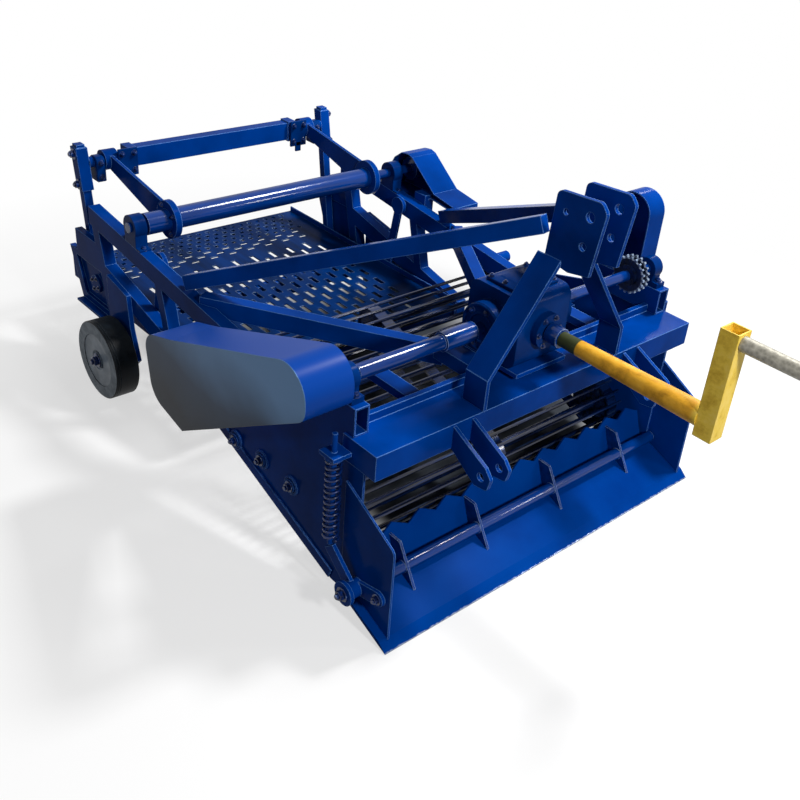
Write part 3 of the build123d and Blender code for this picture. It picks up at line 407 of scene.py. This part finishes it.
# Part-polished steel: it gives the eye bright streaks 200 mm long and 17 mm wide along the rods,
# with near-black old paint between.
rod_steel, tree = started("soil_polished_rod_steel")
place = put(tree, "ShaderNodeTexCoord", {})
along = put(tree, "ShaderNodeMapping", {"Scale": (per_metre(16.667), per_metre(200), per_metre(16.667))},
            [("Vector", place, "Object")])
streak = put(tree, "ShaderNodeTexNoise", {"Scale": 1.0, "Detail": 5.0}, [("Vector", along, "Vector")])
coat = put(tree, "ShaderNodeValToRGB", {"stops": [(0.40, "#020C26"), (0.62, "#0C2656"), (0.80, "#56749E")]},
           [("Fac", streak, "Fac")])
bare = put(tree, "ShaderNodeMapRange", {"From Min": 0.50, "From Max": 0.75, "To Max": 0.7},
           [("Value", streak, "Fac")])
skin = put(tree, "ShaderNodeBsdfPrincipled", {"Roughness": 0.2, "Specular IOR Level": 0.5},
           [("Base Color", coat, "Color"), ("Metallic", bare, "Result")])
put(tree, "ShaderNodeOutputMaterial", {}, [("Surface", skin, "BSDF")])
dress(CHAIN_NODES, rod_steel)

# Drive sprocket: a double chain wheel of cast iron on the cross shaft, oiled, with its tooth tips
# rubbed bright by the chain.
TIP_RADII = (0.060, 0.071)
HUB_MID = [(a + b) / 2 for a, b in zip(*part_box("double_sprocket"))]

# Oiled iron: it gives the eye a blue-black film with marks of about 22 mm, and pale metal at the tips.
oiled_iron, tree = started("oiled_cast_iron")
place = put(tree, "ShaderNodeTexCoord", {})
centred = put(tree, "ShaderNodeMapping", {"Location": (-HUB_MID[0], 0.0, -HUB_MID[2]), "Scale": (1.0, 0.0, 1.0)},
              [("Vector", place, "Object")])
far = put(tree, "ShaderNodeVectorMath", {"operation": "LENGTH"}, [(0, centred, "Vector")])
tip = put(tree, "ShaderNodeMapRange", {"From Min": TIP_RADII[0], "From Max": TIP_RADII[1], "To Max": 0.85},
          [("Value", far, "Value")])
oil = put(tree, "ShaderNodeTexNoise", {"Scale": per_metre(22.222), "Detail": 4.0}, [("Vector", place, "Object")])
film = put(tree, "ShaderNodeValToRGB", {"stops": [(0.35, "#020817"), (0.70, "#0B1E44")]}, [("Fac", oil, "Fac")])
mixed = put(tree, "ShaderNodeMix", {"data_type": "RGBA", 7: hue("#8FA2BC")},
            [(0, tip, "Result"), (6, film, "Color")])
skin = put(tree, "ShaderNodeBsdfPrincipled", {"Roughness": 0.3, "Specular IOR Level": 0.3},
           [("Base Color", mixed, 2), ("Metallic", tip, "Result")])
put(tree, "ShaderNodeOutputMaterial", {}, [("Surface", skin, "BSDF")])
dress(["double_sprocket"], oiled_iron)

# Sieve deck: perforated sheet under the same coat, dulled by sliding soil, with a painted highlight in
# broken pale rims on its edges and around the slots.
DECK_NODES = ["sieve_deck"]

# Dulled enamel: it gives the eye streaks 500 mm long and 60 mm wide down the deck, and pale rims, a
# painted highlight on the edges, that come and go over 45 mm.
deck_enamel, tree = started("soil_dulled_deck_enamel")
place = put(tree, "ShaderNodeTexCoord", {})
slide = put(tree, "ShaderNodeMapping", {"Scale": (per_metre(500), per_metre(62.5), per_metre(500))},
            [("Vector", place, "Object")])
streak = put(tree, "ShaderNodeTexNoise", {"Scale": 1.0, "Detail": 6.0}, [("Vector", slide, "Vector")])
coat = put(tree, "ShaderNodeValToRGB", {"stops": [(0.32, "#001F4A"), (0.70, "#003376")]}, [("Fac", streak, "Fac")])
edge = put(tree, "ShaderNodeBevel", {"samples": 4, "Radius": 0.004})
facing = put(tree, "ShaderNodeNewGeometry", {})
turned = put(tree, "ShaderNodeVectorMath", {"operation": "DOT_PRODUCT"},
             [(0, edge, "Normal"), (1, facing, "Normal")])
# Painted highlight on the edges, broken up by noise of about 45 mm.
rim = put(tree, "ShaderNodeMapRange", {"From Min": 0.995, "From Max": 0.88, "To Max": 0.8},
          [("Value", turned, "Value")])
deck_highlight_breaks = put(tree, "ShaderNodeTexNoise", {"Scale": per_metre(45.455), "Detail": 3.0}, [("Vector", place, "Object")])
deck_highlight_breaks = put(tree, "ShaderNodeMapRange", {"From Min": 0.40, "From Max": 0.62}, [("Value", deck_highlight_breaks, "Fac")])
rim = put(tree, "ShaderNodeMath", {"operation": "MULTIPLY"}, [(0, rim, "Result"), (1, deck_highlight_breaks, "Result")])
mixed = put(tree, "ShaderNodeMix", {"data_type": "RGBA", 7: hue("#A9C4E4")},
            [(0, rim, "Value"), (6, coat, "Color")])
skin = put(tree, "ShaderNodeBsdfPrincipled", {"Roughness": 0.28, "Specular IOR Level": 0.012},
           [("Base Color", mixed, 2), ("Normal", edge, "Normal")])
put(tree, "ShaderNodeOutputMaterial", {}, [("Surface", skin, "BSDF")])
dress(DECK_NODES, deck_enamel)

# Shafts: turned steel bar and drawn tube under the same blue coat, thinner and glossier where
# the parts turn.
SHAFT_NODES = ["cross_shaft", "shaker_shaft", "input_shaft", "shaker_pulley", "blade_tube"]

# Enamel on turned bar: it gives the eye a long sharp highlight, draw marks 330 mm long and 25 mm
# wide, and pale edges and ends, which are a painted highlight.
shaft_enamel, tree = started("blue_enamel_on_turned_bar")
place = put(tree, "ShaderNodeTexCoord", {})
along = put(tree, "ShaderNodeMapping", {"Scale": (per_metre(25), per_metre(333.33), per_metre(25))},
            [("Vector", place, "Object")])
drawn = put(tree, "ShaderNodeTexNoise", {"Scale": 1.0, "Detail": 4.0}, [("Vector", along, "Vector")])
coat = put(tree, "ShaderNodeValToRGB", {"stops": [(0.30, "#002866"), (0.72, "#00398A")]}, [("Fac", drawn, "Fac")])
edge = put(tree, "ShaderNodeBevel", {"samples": 4, "Radius": 0.004})
facing = put(tree, "ShaderNodeNewGeometry", {})
turned = put(tree, "ShaderNodeVectorMath", {"operation": "DOT_PRODUCT"},
             [(0, edge, "Normal"), (1, facing, "Normal")])
# Painted highlight: the edges and ends are lightened where the bevelled normal turns.
rim = put(tree, "ShaderNodeMapRange", {"From Min": 0.96, "From Max": 0.88, "To Max": 0.8},
          [("Value", turned, "Value")])
edge_highlight_tone = put(tree, "ShaderNodeMix", {"data_type": "RGBA", 7: hue("#A8C6F0")},
           [(0, rim, "Result"), (6, coat, "Color")])
skin = put(tree, "ShaderNodeBsdfPrincipled", {"Roughness": 0.12, "Specular IOR Level": 0.28},
           [("Base Color", edge_highlight_tone, 2), ("Normal", edge, "Normal")])
put(tree, "ShaderNodeOutputMaterial", {}, [("Surface", skin, "BSDF")])
dress(SHAFT_NODES, shaft_enamel)

# Shaker end clamps: split bearing blocks that hold the ends of the cross tube's stubs, and bolted
# straps in front of the tube, all flame-cut plate. They take the darker cast coat as painted shade.
CLAMP_SIZE = (0.062, 0.040, 0.105)
CLAMP_ROUND = 0.022
CLAMP_BREAK = 0.003
CLAMP_MID = (-2090, 548, 160)
STRAP_THICK = 0.010
STRAP_X = -2052
STRAP_Y = 432
STRAPS = ((0.088, 118, 236), (0.030, 92, 140))
CLAMP_BOLT_SIZE = 0.9
CLAMP_BOLTS = ((-2059, 548, 128), (-2059, 548, 186), (-2047, 405, 142), (-2047, 459, 142),
               (-2047, 405, 214), (-2047, 459, 214))
clamps = []
for side in (-1, 1):
    clamp = block(CLAMP_SIZE, at(CLAMP_MID[0], side * CLAMP_MID[1], CLAMP_MID[2]))
    bpy.ops.object.mode_set(mode="EDIT")
    bpy.ops.mesh.select_mode(type="EDGE")
    bpy.ops.mesh.select_all(action="DESELECT")
    bpy.ops.object.mode_set(mode="OBJECT")
    for line in clamp.data.edges:
        ends = [clamp.data.vertices[k].co for k in line.vertices]
        line.select = abs(ends[0].y - ends[1].y) > CLAMP_SIZE[1] / 2 and ends[0].z > 0
    bpy.ops.object.mode_set(mode="EDIT")
    bpy.ops.mesh.bevel(offset=CLAMP_ROUND, segments=4)
    bpy.ops.object.mode_set(mode="OBJECT")
    chamfered(clamp, CLAMP_BREAK)
    clamps.append(clamp)
for side in (-1, 1):
    for wide, low_z, high_z in STRAPS:
        strap = block((STRAP_THICK, wide, (high_z - low_z) / 1000), at(STRAP_X, side * STRAP_Y, (low_z + high_z) / 2))
        chamfered(strap, CLAMP_BREAK, 2)
        clamps.append(strap)
settled(joined(clamps, "stub_clamps"), "frame", shade_darkened_cast_enamel)
bolted("clamp_bolts", "frame",
       [(at(x, side * y, z), (1, 0, 0), CLAMP_BOLT_SIZE) for side in (-1, 1) for x, y, z in CLAMP_BOLTS])

# Side bands and roller flanges: a flat bar stitched along each side plate's lower edge, and pressed
# bearing rings at the roller axles, all sprayed with the frame.
PLATE_Y = 757
BAND_REAR = (-996, -313.5)
BAND_FRONT = (-196, -597)
BAND_WIDE = 0.042
BAND_THICK = 0.008
BAND_RAISE = 0.0015
BAND_BREAK = 0.002
BOSS_RING_R = 0.031
BOSS_RING_HALF = 0.006
BOSS_Y = 759
BOSS_STEPS = 28
bands = []
run = at(BAND_FRONT[0], 0, BAND_FRONT[1]) - at(BAND_REAR[0], 0, BAND_REAR[1])
rise = Vector((-run.z, 0, run.x)).normalized()
for side in (-1, 1):
    start = at(BAND_REAR[0], side * PLATE_Y, BAND_REAR[1]) + Vector((0, side * BAND_THICK / 2, 0))
    start += rise * (BAND_WIDE / 2 + BAND_RAISE)
    band = block((run.length, BAND_THICK, BAND_WIDE), start + run / 2, (0, -math.atan2(run.z, run.x), 0))
    chamfered(band, BAND_BREAK)
    bands.append(band)
    for axle_x, axle_z in ROLLER_AXLES:
        ring = land(BOSS_RING_R, BOSS_RING_HALF, side)
        bands.append(lathed(ring, BOSS_STEPS, at(axle_x, side * BOSS_Y, axle_z)))
bands = joined(bands, "side_bands")
bpy.ops.object.shade_smooth_by_angle(angle=SMOOTH)
settled(bands, "frame", blue_enamel)

# Hand crank: a tapered tube with a square arm, brush-painted yellow and rubbed by hands, on a
# dark green socket. The grip is a plain galvanised pipe.
SOCKET_LONG = 0.075
ARM_WIDE = 0.065
crank_low, crank_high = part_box("hand_crank")
SOCKET_X = crank_low[0] + SOCKET_LONG
ARM_X = crank_high[0] - ARM_WIDE

# Brushed yellow enamel: it gives the eye a warm ochre tube and a clearer yellow arm, with soft rubbed
# marks 40 to 80 mm long that are also a little duller.
yellow_paint, tree = started("yellow_brushed_paint")
place = put(tree, "ShaderNodeTexCoord", {})
along = put(tree, "ShaderNodeMapping", {"Scale": (per_metre(83.333), per_metre(38.462), per_metre(71.429))},
            [("Vector", place, "Object")])
streak = put(tree, "ShaderNodeTexNoise", {"Scale": 1.0, "Detail": 7.0, "Roughness": 0.68},
             [("Vector", along, "Vector")])
tube_coat = put(tree, "ShaderNodeValToRGB", {"stops": [(0.30, "#B07C18"), (0.48, "#E2A62A"), (0.72, "#F0BC44")]},
                [("Fac", streak, "Fac")])
arm_coat = put(tree, "ShaderNodeValToRGB", {"stops": [(0.30, "#CFA52E"), (0.46, "#F6D24C"), (0.72, "#FFE07A")]},
               [("Fac", streak, "Fac")])
split = put(tree, "ShaderNodeSeparateXYZ", {}, [("Vector", place, "Object")])
on_arm = put(tree, "ShaderNodeMapRange", {"From Min": ARM_X - 0.02, "From Max": ARM_X}, [("Value", split, "X")])
coat = put(tree, "ShaderNodeMix", {"data_type": "RGBA"},
           [(0, on_arm, "Result"), (6, tube_coat, "Color"), (7, arm_coat, "Color")])
base = put(tree, "ShaderNodeMapRange", {"From Min": SOCKET_X - 0.002, "From Max": SOCKET_X + 0.002},
           [("Value", split, "X")])
mixed = put(tree, "ShaderNodeMix", {"data_type": "RGBA", 6: hue("#333A1C")}, [(0, base, "Result"), (7, coat, 2)])
rough = put(tree, "ShaderNodeMapRange", {"To Min": 0.62, "To Max": 0.36}, [("Value", streak, "Fac")])
edge = put(tree, "ShaderNodeBevel", {"samples": 4, "Radius": 0.003})
brush = put(tree, "ShaderNodeBump", {"Strength": 0.12, "Distance": 0.002},
            [("Height", streak, "Fac"), ("Normal", edge, "Normal")])
skin = put(tree, "ShaderNodeBsdfPrincipled", {"Specular IOR Level": 0.25},
           [("Base Color", mixed, 2), ("Roughness", rough, "Result"), ("Normal", brush, "Normal")])
put(tree, "ShaderNodeOutputMaterial", {}, [("Surface", skin, "BSDF")])
dress(["hand_crank"], yellow_paint)

# Hot-dip zinc: it gives the eye a dull grey with spangle flakes of about 11 mm.
galvanised, tree = started("galvanised_pipe")
place = put(tree, "ShaderNodeTexCoord", {})
flake = put(tree, "ShaderNodeTexVoronoi", {"Scale": per_metre(11.111)}, [("Vector", place, "Object")])
zinc = put(tree, "ShaderNodeValToRGB", {"stops": [(0.0, "#77746A"), (1.0, "#A9A598")]},
           [("Fac", flake, "Distance")])
skin = put(tree, "ShaderNodeBsdfPrincipled", {"Metallic": 0.45, "Roughness": 0.46}, [("Base Color", zinc, "Color")])
put(tree, "ShaderNodeOutputMaterial", {}, [("Surface", skin, "BSDF")])
dress(["crank_grip"], galvanised)

# Right drive guard: a rolled sheet-steel housing over the chain drive. Its flat outer sheet has a thin
# metallic coat in a grey-blue that is a painted reflection, and the rim is sprayed blue with the frame.
GUARD_LOW, GUARD_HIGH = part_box("drive_guard")
SHEET_DEEP = 0.002

# Thin metallic enamel: it gives the eye a grey-blue sheet that pales upward as a painted reflection, and
# clouds over 420 mm.
guard_coat, tree = started("guard_sheet_enamel")
place = put(tree, "ShaderNodeTexCoord", {})
split = put(tree, "ShaderNodeSeparateXYZ", {}, [("Vector", place, "Object")])
flat = put(tree, "ShaderNodeMath", {"operation": "LESS_THAN", 1: GUARD_LOW[1] + SHEET_DEEP}, [(0, split, "Y")])
cloud = put(tree, "ShaderNodeTexNoise", {"Scale": per_metre(416.67), "Detail": 3.0, "Roughness": 0.5},
            [("Vector", place, "Object")])
# Painted reflection: the sheet grows paler towards the top.
rise = put(tree, "ShaderNodeMapRange",
           {"From Min": GUARD_LOW[2], "From Max": GUARD_HIGH[2], "To Min": -0.34, "To Max": 0.66},
           [("Value", split, "Z")])
lift = put(tree, "ShaderNodeMath", {"operation": "MULTIPLY_ADD", 1: 0.6}, [(0, cloud, "Fac"), (2, rise, "Result")])
pale = put(tree, "ShaderNodeValToRGB", {"stops": [(0.10, "#101924"), (0.42, "#24364C"), (0.80, "#587CA4")]},
           [("Fac", lift, "Value")])
mixed = put(tree, "ShaderNodeMix", {"data_type": "RGBA", 6: hue("#063E96")},
            [(0, flat, "Value"), (7, pale, "Color")])
sheen = put(tree, "ShaderNodeMath", {"operation": "MULTIPLY", 1: 0.30}, [(0, flat, "Value")])
edge = put(tree, "ShaderNodeBevel", {"samples": 4, "Radius": 0.004})
skin = put(tree, "ShaderNodeBsdfPrincipled", {"Roughness": 0.32, "Specular IOR Level": 0.06},
           [("Base Color", mixed, 2), ("Metallic", sheen, "Value"), ("Normal", edge, "Normal")])
put(tree, "ShaderNodeOutputMaterial", {}, [("Surface", skin, "BSDF")])
dress(["drive_guard"], guard_coat)

# Depth springs: open coils of round spring wire, wound cold, on the rods at the ends of the beam.
# They take the place of the CAD's plain sleeves.
WIRE_R = 0.0045
WIRE_SIDES = 8
TURNS = 14
TURN_STEPS = 22

# Painted wire: it gives the eye a near-black blue with grime marks of about 17 mm.
spring_steel, tree = started("painted_spring_wire")
place = put(tree, "ShaderNodeTexCoord", {})
grime = put(tree, "ShaderNodeTexNoise", {"Scale": per_metre(16.667), "Detail": 3.0}, [("Vector", place, "Object")])
wire = put(tree, "ShaderNodeValToRGB", {"stops": [(0.3, "#02102F"), (0.7, "#0A2E74")]}, [("Fac", grime, "Fac")])
skin = put(tree, "ShaderNodeBsdfPrincipled", {"Roughness": 0.25, "Specular IOR Level": 0.35},
           [("Base Color", wire, "Color")])
put(tree, "ShaderNodeOutputMaterial", {}, [("Surface", skin, "BSDF")])
low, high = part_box("depth_springs")
coil_r = (high[0] - low[0]) / 2 - WIRE_R
coil_x = (low[0] + high[0]) / 2
pitch = (high[2] - low[2] - 2 * WIRE_R) / TURNS
coils = []
for coil_name, coil_y in (("coil_right", low[1] + coil_r + WIRE_R), ("coil_left", high[1] - coil_r - WIRE_R)):
    bpy.ops.object.select_all(action="DESELECT")
    bpy.ops.mesh.primitive_circle_add(vertices=WIRE_SIDES, radius=WIRE_R, rotation=(math.pi / 2, 0, 0),
                                      location=(coil_r, 0, 0))
    coil = bpy.context.object
    bpy.ops.object.transform_apply(location=True, rotation=True, scale=True)
    winding = coil.modifiers.new("winding", "SCREW")
    winding.axis = "Z"
    winding.angle = 2 * math.pi
    winding.screw_offset = pitch
    winding.iterations = TURNS
    winding.steps = TURN_STEPS
    winding.render_steps = TURN_STEPS
    winding.use_merge_vertices = True
    bpy.ops.object.modifier_apply(modifier="winding")
    bpy.ops.object.mode_set(mode="EDIT")
    bpy.ops.mesh.select_all(action="SELECT")
    bpy.ops.mesh.fill_holes(sides=WIRE_SIDES)
    bpy.ops.mesh.normals_make_consistent(inside=False)
    bpy.ops.object.mode_set(mode="OBJECT")
    bpy.ops.object.shade_smooth()
    coil.location = (coil_x, coil_y, low[2] + WIRE_R)
    coil = joined([coil], coil_name)
    settled(coil, "frame", spring_steel)
    coils.append(coil)
for coil in coils:
    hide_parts("depth_springs")

# Rear wheels: solid rubber rollers moulded on a disc, with flat dusty flanks, a plain black tread
# with two moulding lines, and a pressed cover disc under one dark hub nut.
SHOULDER = 0.004
LINE_SHARES = (0.82, 0.62)
LINE_HALF = 0.002
LINE_DEEP = 0.0025
WHEEL_STEPS = 72
COVER_GAP = 0.0006
COVER_SINK = 0.002
COVER_HOLE_R = 0.036
COVER_HOLE_DEEP = 0.009
COVER_DISH = ((0.046, 0.001), (0.075, 0.004))
COVER_THICK = 0.010
NUT_SIZE = 2.0

# Moulded rubber: it gives the eye a black tread and dust-grey flanks with scuffs of about 38 mm, and
# a fine grit of 2 mm, which is drawn coarser than the real one so that it shows.
rubber, tree = started("solid_tyre_rubber")
place = put(tree, "ShaderNodeTexCoord", {})
scuff = put(tree, "ShaderNodeTexNoise", {"Scale": per_metre(38.462), "Detail": 6.0}, [("Vector", place, "Object")])
black = put(tree, "ShaderNodeValToRGB", {"stops": [(0.30, "#04080D"), (0.75, "#10181F")]}, [("Fac", scuff, "Fac")])
dusty = put(tree, "ShaderNodeValToRGB", {"stops": [(0.30, "#4E5A66"), (0.75, "#8E9BA8")]}, [("Fac", scuff, "Fac")])
facing = put(tree, "ShaderNodeNewGeometry", {})
across = put(tree, "ShaderNodeSeparateXYZ", {}, [("Vector", facing, "Normal")])
flank = put(tree, "ShaderNodeMath", {"operation": "ABSOLUTE"}, [(0, across, "Y")])
flank = put(tree, "ShaderNodeMapRange", {"From Min": 0.75, "From Max": 0.95}, [("Value", flank, "Value")])
mixed = put(tree, "ShaderNodeMix", {"data_type": "RGBA"},
            [(0, flank, "Result"), (6, black, "Color"), (7, dusty, "Color")])
grit = put(tree, "ShaderNodeTexNoise", {"Scale": per_metre(2.381), "Detail": 2.0}, [("Vector", place, "Object")])
pits = put(tree, "ShaderNodeBump", {"Strength": 0.25, "Distance": 0.001}, [("Height", grit, "Fac")])
skin = put(tree, "ShaderNodeBsdfPrincipled", {"Roughness": 0.45, "Specular IOR Level": 0.12},
           [("Base Color", mixed, 2), ("Normal", pits, "Normal")])
put(tree, "ShaderNodeOutputMaterial", {}, [("Surface", skin, "BSDF")])

# Grey disc paint: it gives the eye a satin grey with dust that clouds over 70 mm.
disc_grey, tree = started("grey_disc_paint")
place = put(tree, "ShaderNodeTexCoord", {})
dust = put(tree, "ShaderNodeTexNoise", {"Scale": per_metre(71.429), "Detail": 5.0}, [("Vector", place, "Object")])
grey = put(tree, "ShaderNodeValToRGB", {"stops": [(0.32, "#586675"), (0.70, "#93A2B2")]}, [("Fac", dust, "Fac")])
edge = put(tree, "ShaderNodeBevel", {"samples": 4, "Radius": 0.003})
skin = put(tree, "ShaderNodeBsdfPrincipled", {"Roughness": 0.35, "Specular IOR Level": 0.2},
           [("Base Color", grey, "Color"), ("Normal", edge, "Normal")])
put(tree, "ShaderNodeOutputMaterial", {}, [("Surface", skin, "BSDF")])
dress(["wheel_disc_right", "wheel_disc_left"], disc_grey)
for side_name, side in (("right", -1), ("left", 1)):
    low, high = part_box("wheel_tyre_" + side_name)
    disc_low, disc_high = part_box("wheel_disc_" + side_name)
    middle = Vector([(a + b) / 2 for a, b in zip(low, high)])
    outer_r = (high[2] - low[2]) / 2
    inner_r = (disc_high[2] - disc_low[2]) / 2
    half = (high[1] - low[1]) / 2
    lines = []
    for share in LINE_SHARES:
        line_y = side * half * share
        lines += [(outer_r, line_y - LINE_HALF), (outer_r - LINE_DEEP, line_y), (outer_r, line_y + LINE_HALF)]
    lines.sort(key=lambda point: point[1])
    tread = [(inner_r, -half), (outer_r - SHOULDER, -half), (outer_r, SHOULDER - half)] + lines
    tread += [(outer_r, half - SHOULDER), (outer_r - SHOULDER, half), (inner_r, half)]
    tyre = joined([lathed(tread, WHEEL_STEPS, middle)], "tyre_" + side_name)
    settled(tyre, "wheel_" + side_name, rubber)
    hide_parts("wheel_tyre_" + side_name)
    face_y = half - COVER_SINK
    dish = [(COVER_HOLE_R, face_y - COVER_HOLE_DEEP)] + [(radius, face_y - deep) for radius, deep in COVER_DISH]
    dish += [(inner_r - COVER_GAP, face_y), (inner_r - COVER_GAP, face_y - COVER_THICK),
             (COVER_HOLE_R, face_y - COVER_THICK)]
    cover = lathed([(radius, side * along_y) for radius, along_y in dish], WHEEL_STEPS, middle)
    cover = joined([cover], "cover_disc_" + side_name)
    settled(cover, "wheel_" + side_name, disc_grey)
    hub = Vector((middle[0], disc_low[1] if side < 0 else disc_high[1], middle[2]))
    bolted("hub_nut_" + side_name, "frame", [(hub, (0, side, 0), NUT_SIZE)])
bpy.data.objects.remove(bolt_model)

# Studio: a pale floor that takes the shadow, with a painted shadow under and beside the elevator, a
# white surround, and lamps overhead, in front and at both sides.
FLOOR_SIZE = 60
FLOOR_Z = -0.001
bpy.ops.object.select_all(action="DESELECT")
bpy.ops.mesh.primitive_plane_add(size=FLOOR_SIZE, location=(0, 0, FLOOR_Z))
floor = bpy.context.object
floor.name = "studio_floor"

# Matt floor paint: it gives the eye a floor that fades to white away from the machine, with a dark grey
# painted shadow under and beside the elevator, and grey to the light that bounces, so that the machine's
# underside stays dark.
floor_paint, tree = started("studio_floor_paint")
place = put(tree, "ShaderNodeTexCoord", {})
far = put(tree, "ShaderNodeVectorMath", {"operation": "LENGTH"}, [(0, place, "Object")])
fade = put(tree, "ShaderNodeMapRange", {"From Min": 1.4, "From Max": 3.2, "To Min": 0.62}, [("Value", far, "Value")])
path = put(tree, "ShaderNodeLightPath", {})
seen = put(tree, "ShaderNodeMath", {"operation": "MAXIMUM"}, [(0, path, "Is Camera Ray"), (1, path, "Is Glossy Ray")])
seen = put(tree, "ShaderNodeMath", {"operation": "MAXIMUM"}, [(0, seen, "Value"), (1, path, "Is Transmission Ray")])
tone = put(tree, "ShaderNodeMix", {"data_type": "RGBA", 6: hue("#808080"), 7: hue("#FAFAFA")}, [(0, seen, "Value")])
ground = put(tree, "ShaderNodeSeparateXYZ", {}, [("Vector", place, "Object")])
slant = put(tree, "ShaderNodeMath", {"operation": "ADD"}, [(0, ground, "X"), (1, ground, "Y")])
# Soft edges of the painted shadow under and beside the elevator.
SHADE_EDGES = [
    dict(source=ground, output="X", clear=-1.60, dark=-1.00),
    dict(source=ground, output="X", clear=0.80, dark=0.62),
    dict(source=ground, output="Y", clear=-0.50, dark=-0.30),
    dict(source=ground, output="Y", clear=1.55, dark=0.80),
    dict(source=slant, output="Value", clear=1.42, dark=1.05),
]
deep = None
for bound in SHADE_EDGES:
    wall = put(tree, "ShaderNodeMapRange",
               {"From Min": bound["clear"], "From Max": bound["dark"], "interpolation_type": "SMOOTHSTEP"},
               [("Value", bound["source"], bound["output"])])
    if deep:
        wall = put(tree, "ShaderNodeMath", {"operation": "MULTIPLY"}, [(0, deep, 0), (1, wall, 0)])
    deep = wall
# The painted shadow's dark grey, which also takes the floor's white glow away.
tone = put(tree, "ShaderNodeMix", {"data_type": "RGBA", 7: hue("#3A3E44")}, [(0, deep, 0), (6, tone, 2)])
matt = put(tree, "ShaderNodeBsdfDiffuse", {}, [("Color", tone, 2)])
glow = put(tree, "ShaderNodeEmission", {"Color": (1.0, 1.0, 1.0, 1.0), "Strength": 1.0})
open_floor = put(tree, "ShaderNodeMath", {"operation": "SUBTRACT", 0: 1.0}, [(1, deep, 0)])
blank = put(tree, "ShaderNodeMath", {"operation": "MULTIPLY"}, [(0, fade, "Result"), (1, seen, "Value")])
blank = put(tree, "ShaderNodeMath", {"operation": "MULTIPLY"}, [(0, blank, "Value"), (1, open_floor, "Value")])
both = put(tree, "ShaderNodeMixShader", {}, [(0, blank, "Value"), (1, matt, "BSDF"), (2, glow, "Emission")])
put(tree, "ShaderNodeOutputMaterial", {}, [("Surface", both, "Shader")])
floor.data.materials.append(floor_paint)

# Surround: white to what the camera, reflections and glass see, and dim to everything else.
world = bpy.data.worlds.new("studio_surround")
bpy.context.scene.world = world
world.use_nodes = True
tree = world.node_tree
tree.nodes.clear()
path = put(tree, "ShaderNodeLightPath", {})
seen = put(tree, "ShaderNodeMath", {"operation": "MAXIMUM"}, [(0, path, "Is Camera Ray"), (1, path, "Is Glossy Ray")])
seen = put(tree, "ShaderNodeMath", {"operation": "MAXIMUM"}, [(0, seen, "Value"), (1, path, "Is Transmission Ray")])
level = put(tree, "ShaderNodeMapRange", {"To Min": 0.10, "To Max": 1.0}, [("Value", seen, "Value")])
air = put(tree, "ShaderNodeBackground", {"Color": (1.0, 1.0, 1.0, 1.0)}, [("Strength", level, "Result")])
put(tree, "ShaderNodeOutputWorld", {}, [("Surface", air, "Background")])

LAMPS = [
    dict(name="key", place=(1.0, 2.6, 4.9), aim=(0.0, 0.0, 0.4), size=0.8, power=300),
    dict(name="front", place=(5.0, -0.9, 3.4), aim=(0.4, 0.0, 0.4), size=0.6, power=150),
    dict(name="glint", place=(3.2, 2.6, 1.9), aim=(0.4, 0.0, 0.4), size=0.35, power=22),
    dict(name="right", place=(-0.6, -5.2, 2.8), aim=(-0.2, 0.0, 0.4), size=0.6, power=15),
    dict(name="left", place=(-1.8, 4.8, 3.6), aim=(-0.4, 0.0, 0.4), size=0.6, power=40),
]
for lamp in LAMPS:
    bpy.ops.object.light_add(type="AREA", location=lamp["place"])
    light = bpy.context.object
    light.name = "lamp_" + lamp["name"]
    light.data.size = lamp["size"]
    light.data.energy = lamp["power"]
    beam = Vector(lamp["aim"]) - Vector(lamp["place"])
    light.rotation_euler = beam.to_track_quat("-Z", "Y").to_euler()

# Camera at the photograph's place: in front of the right corner, above head height, fitted to the
# photograph with its tilt and its shifted crop.
bpy.ops.object.camera_add(location=(2.4759, -2.3076, 2.3376), rotation=(1.01477, -0.09287, 0.82989))
camera = bpy.context.object
camera.name = "photo_camera"
camera.data.sensor_width = 36.0
camera.data.lens = 45.604
camera.data.shift_x = -0.0494
camera.data.shift_y = -0.0016
bpy.context.scene.camera = camera
bpy.context.scene.view_settings.view_transform = "Standard"
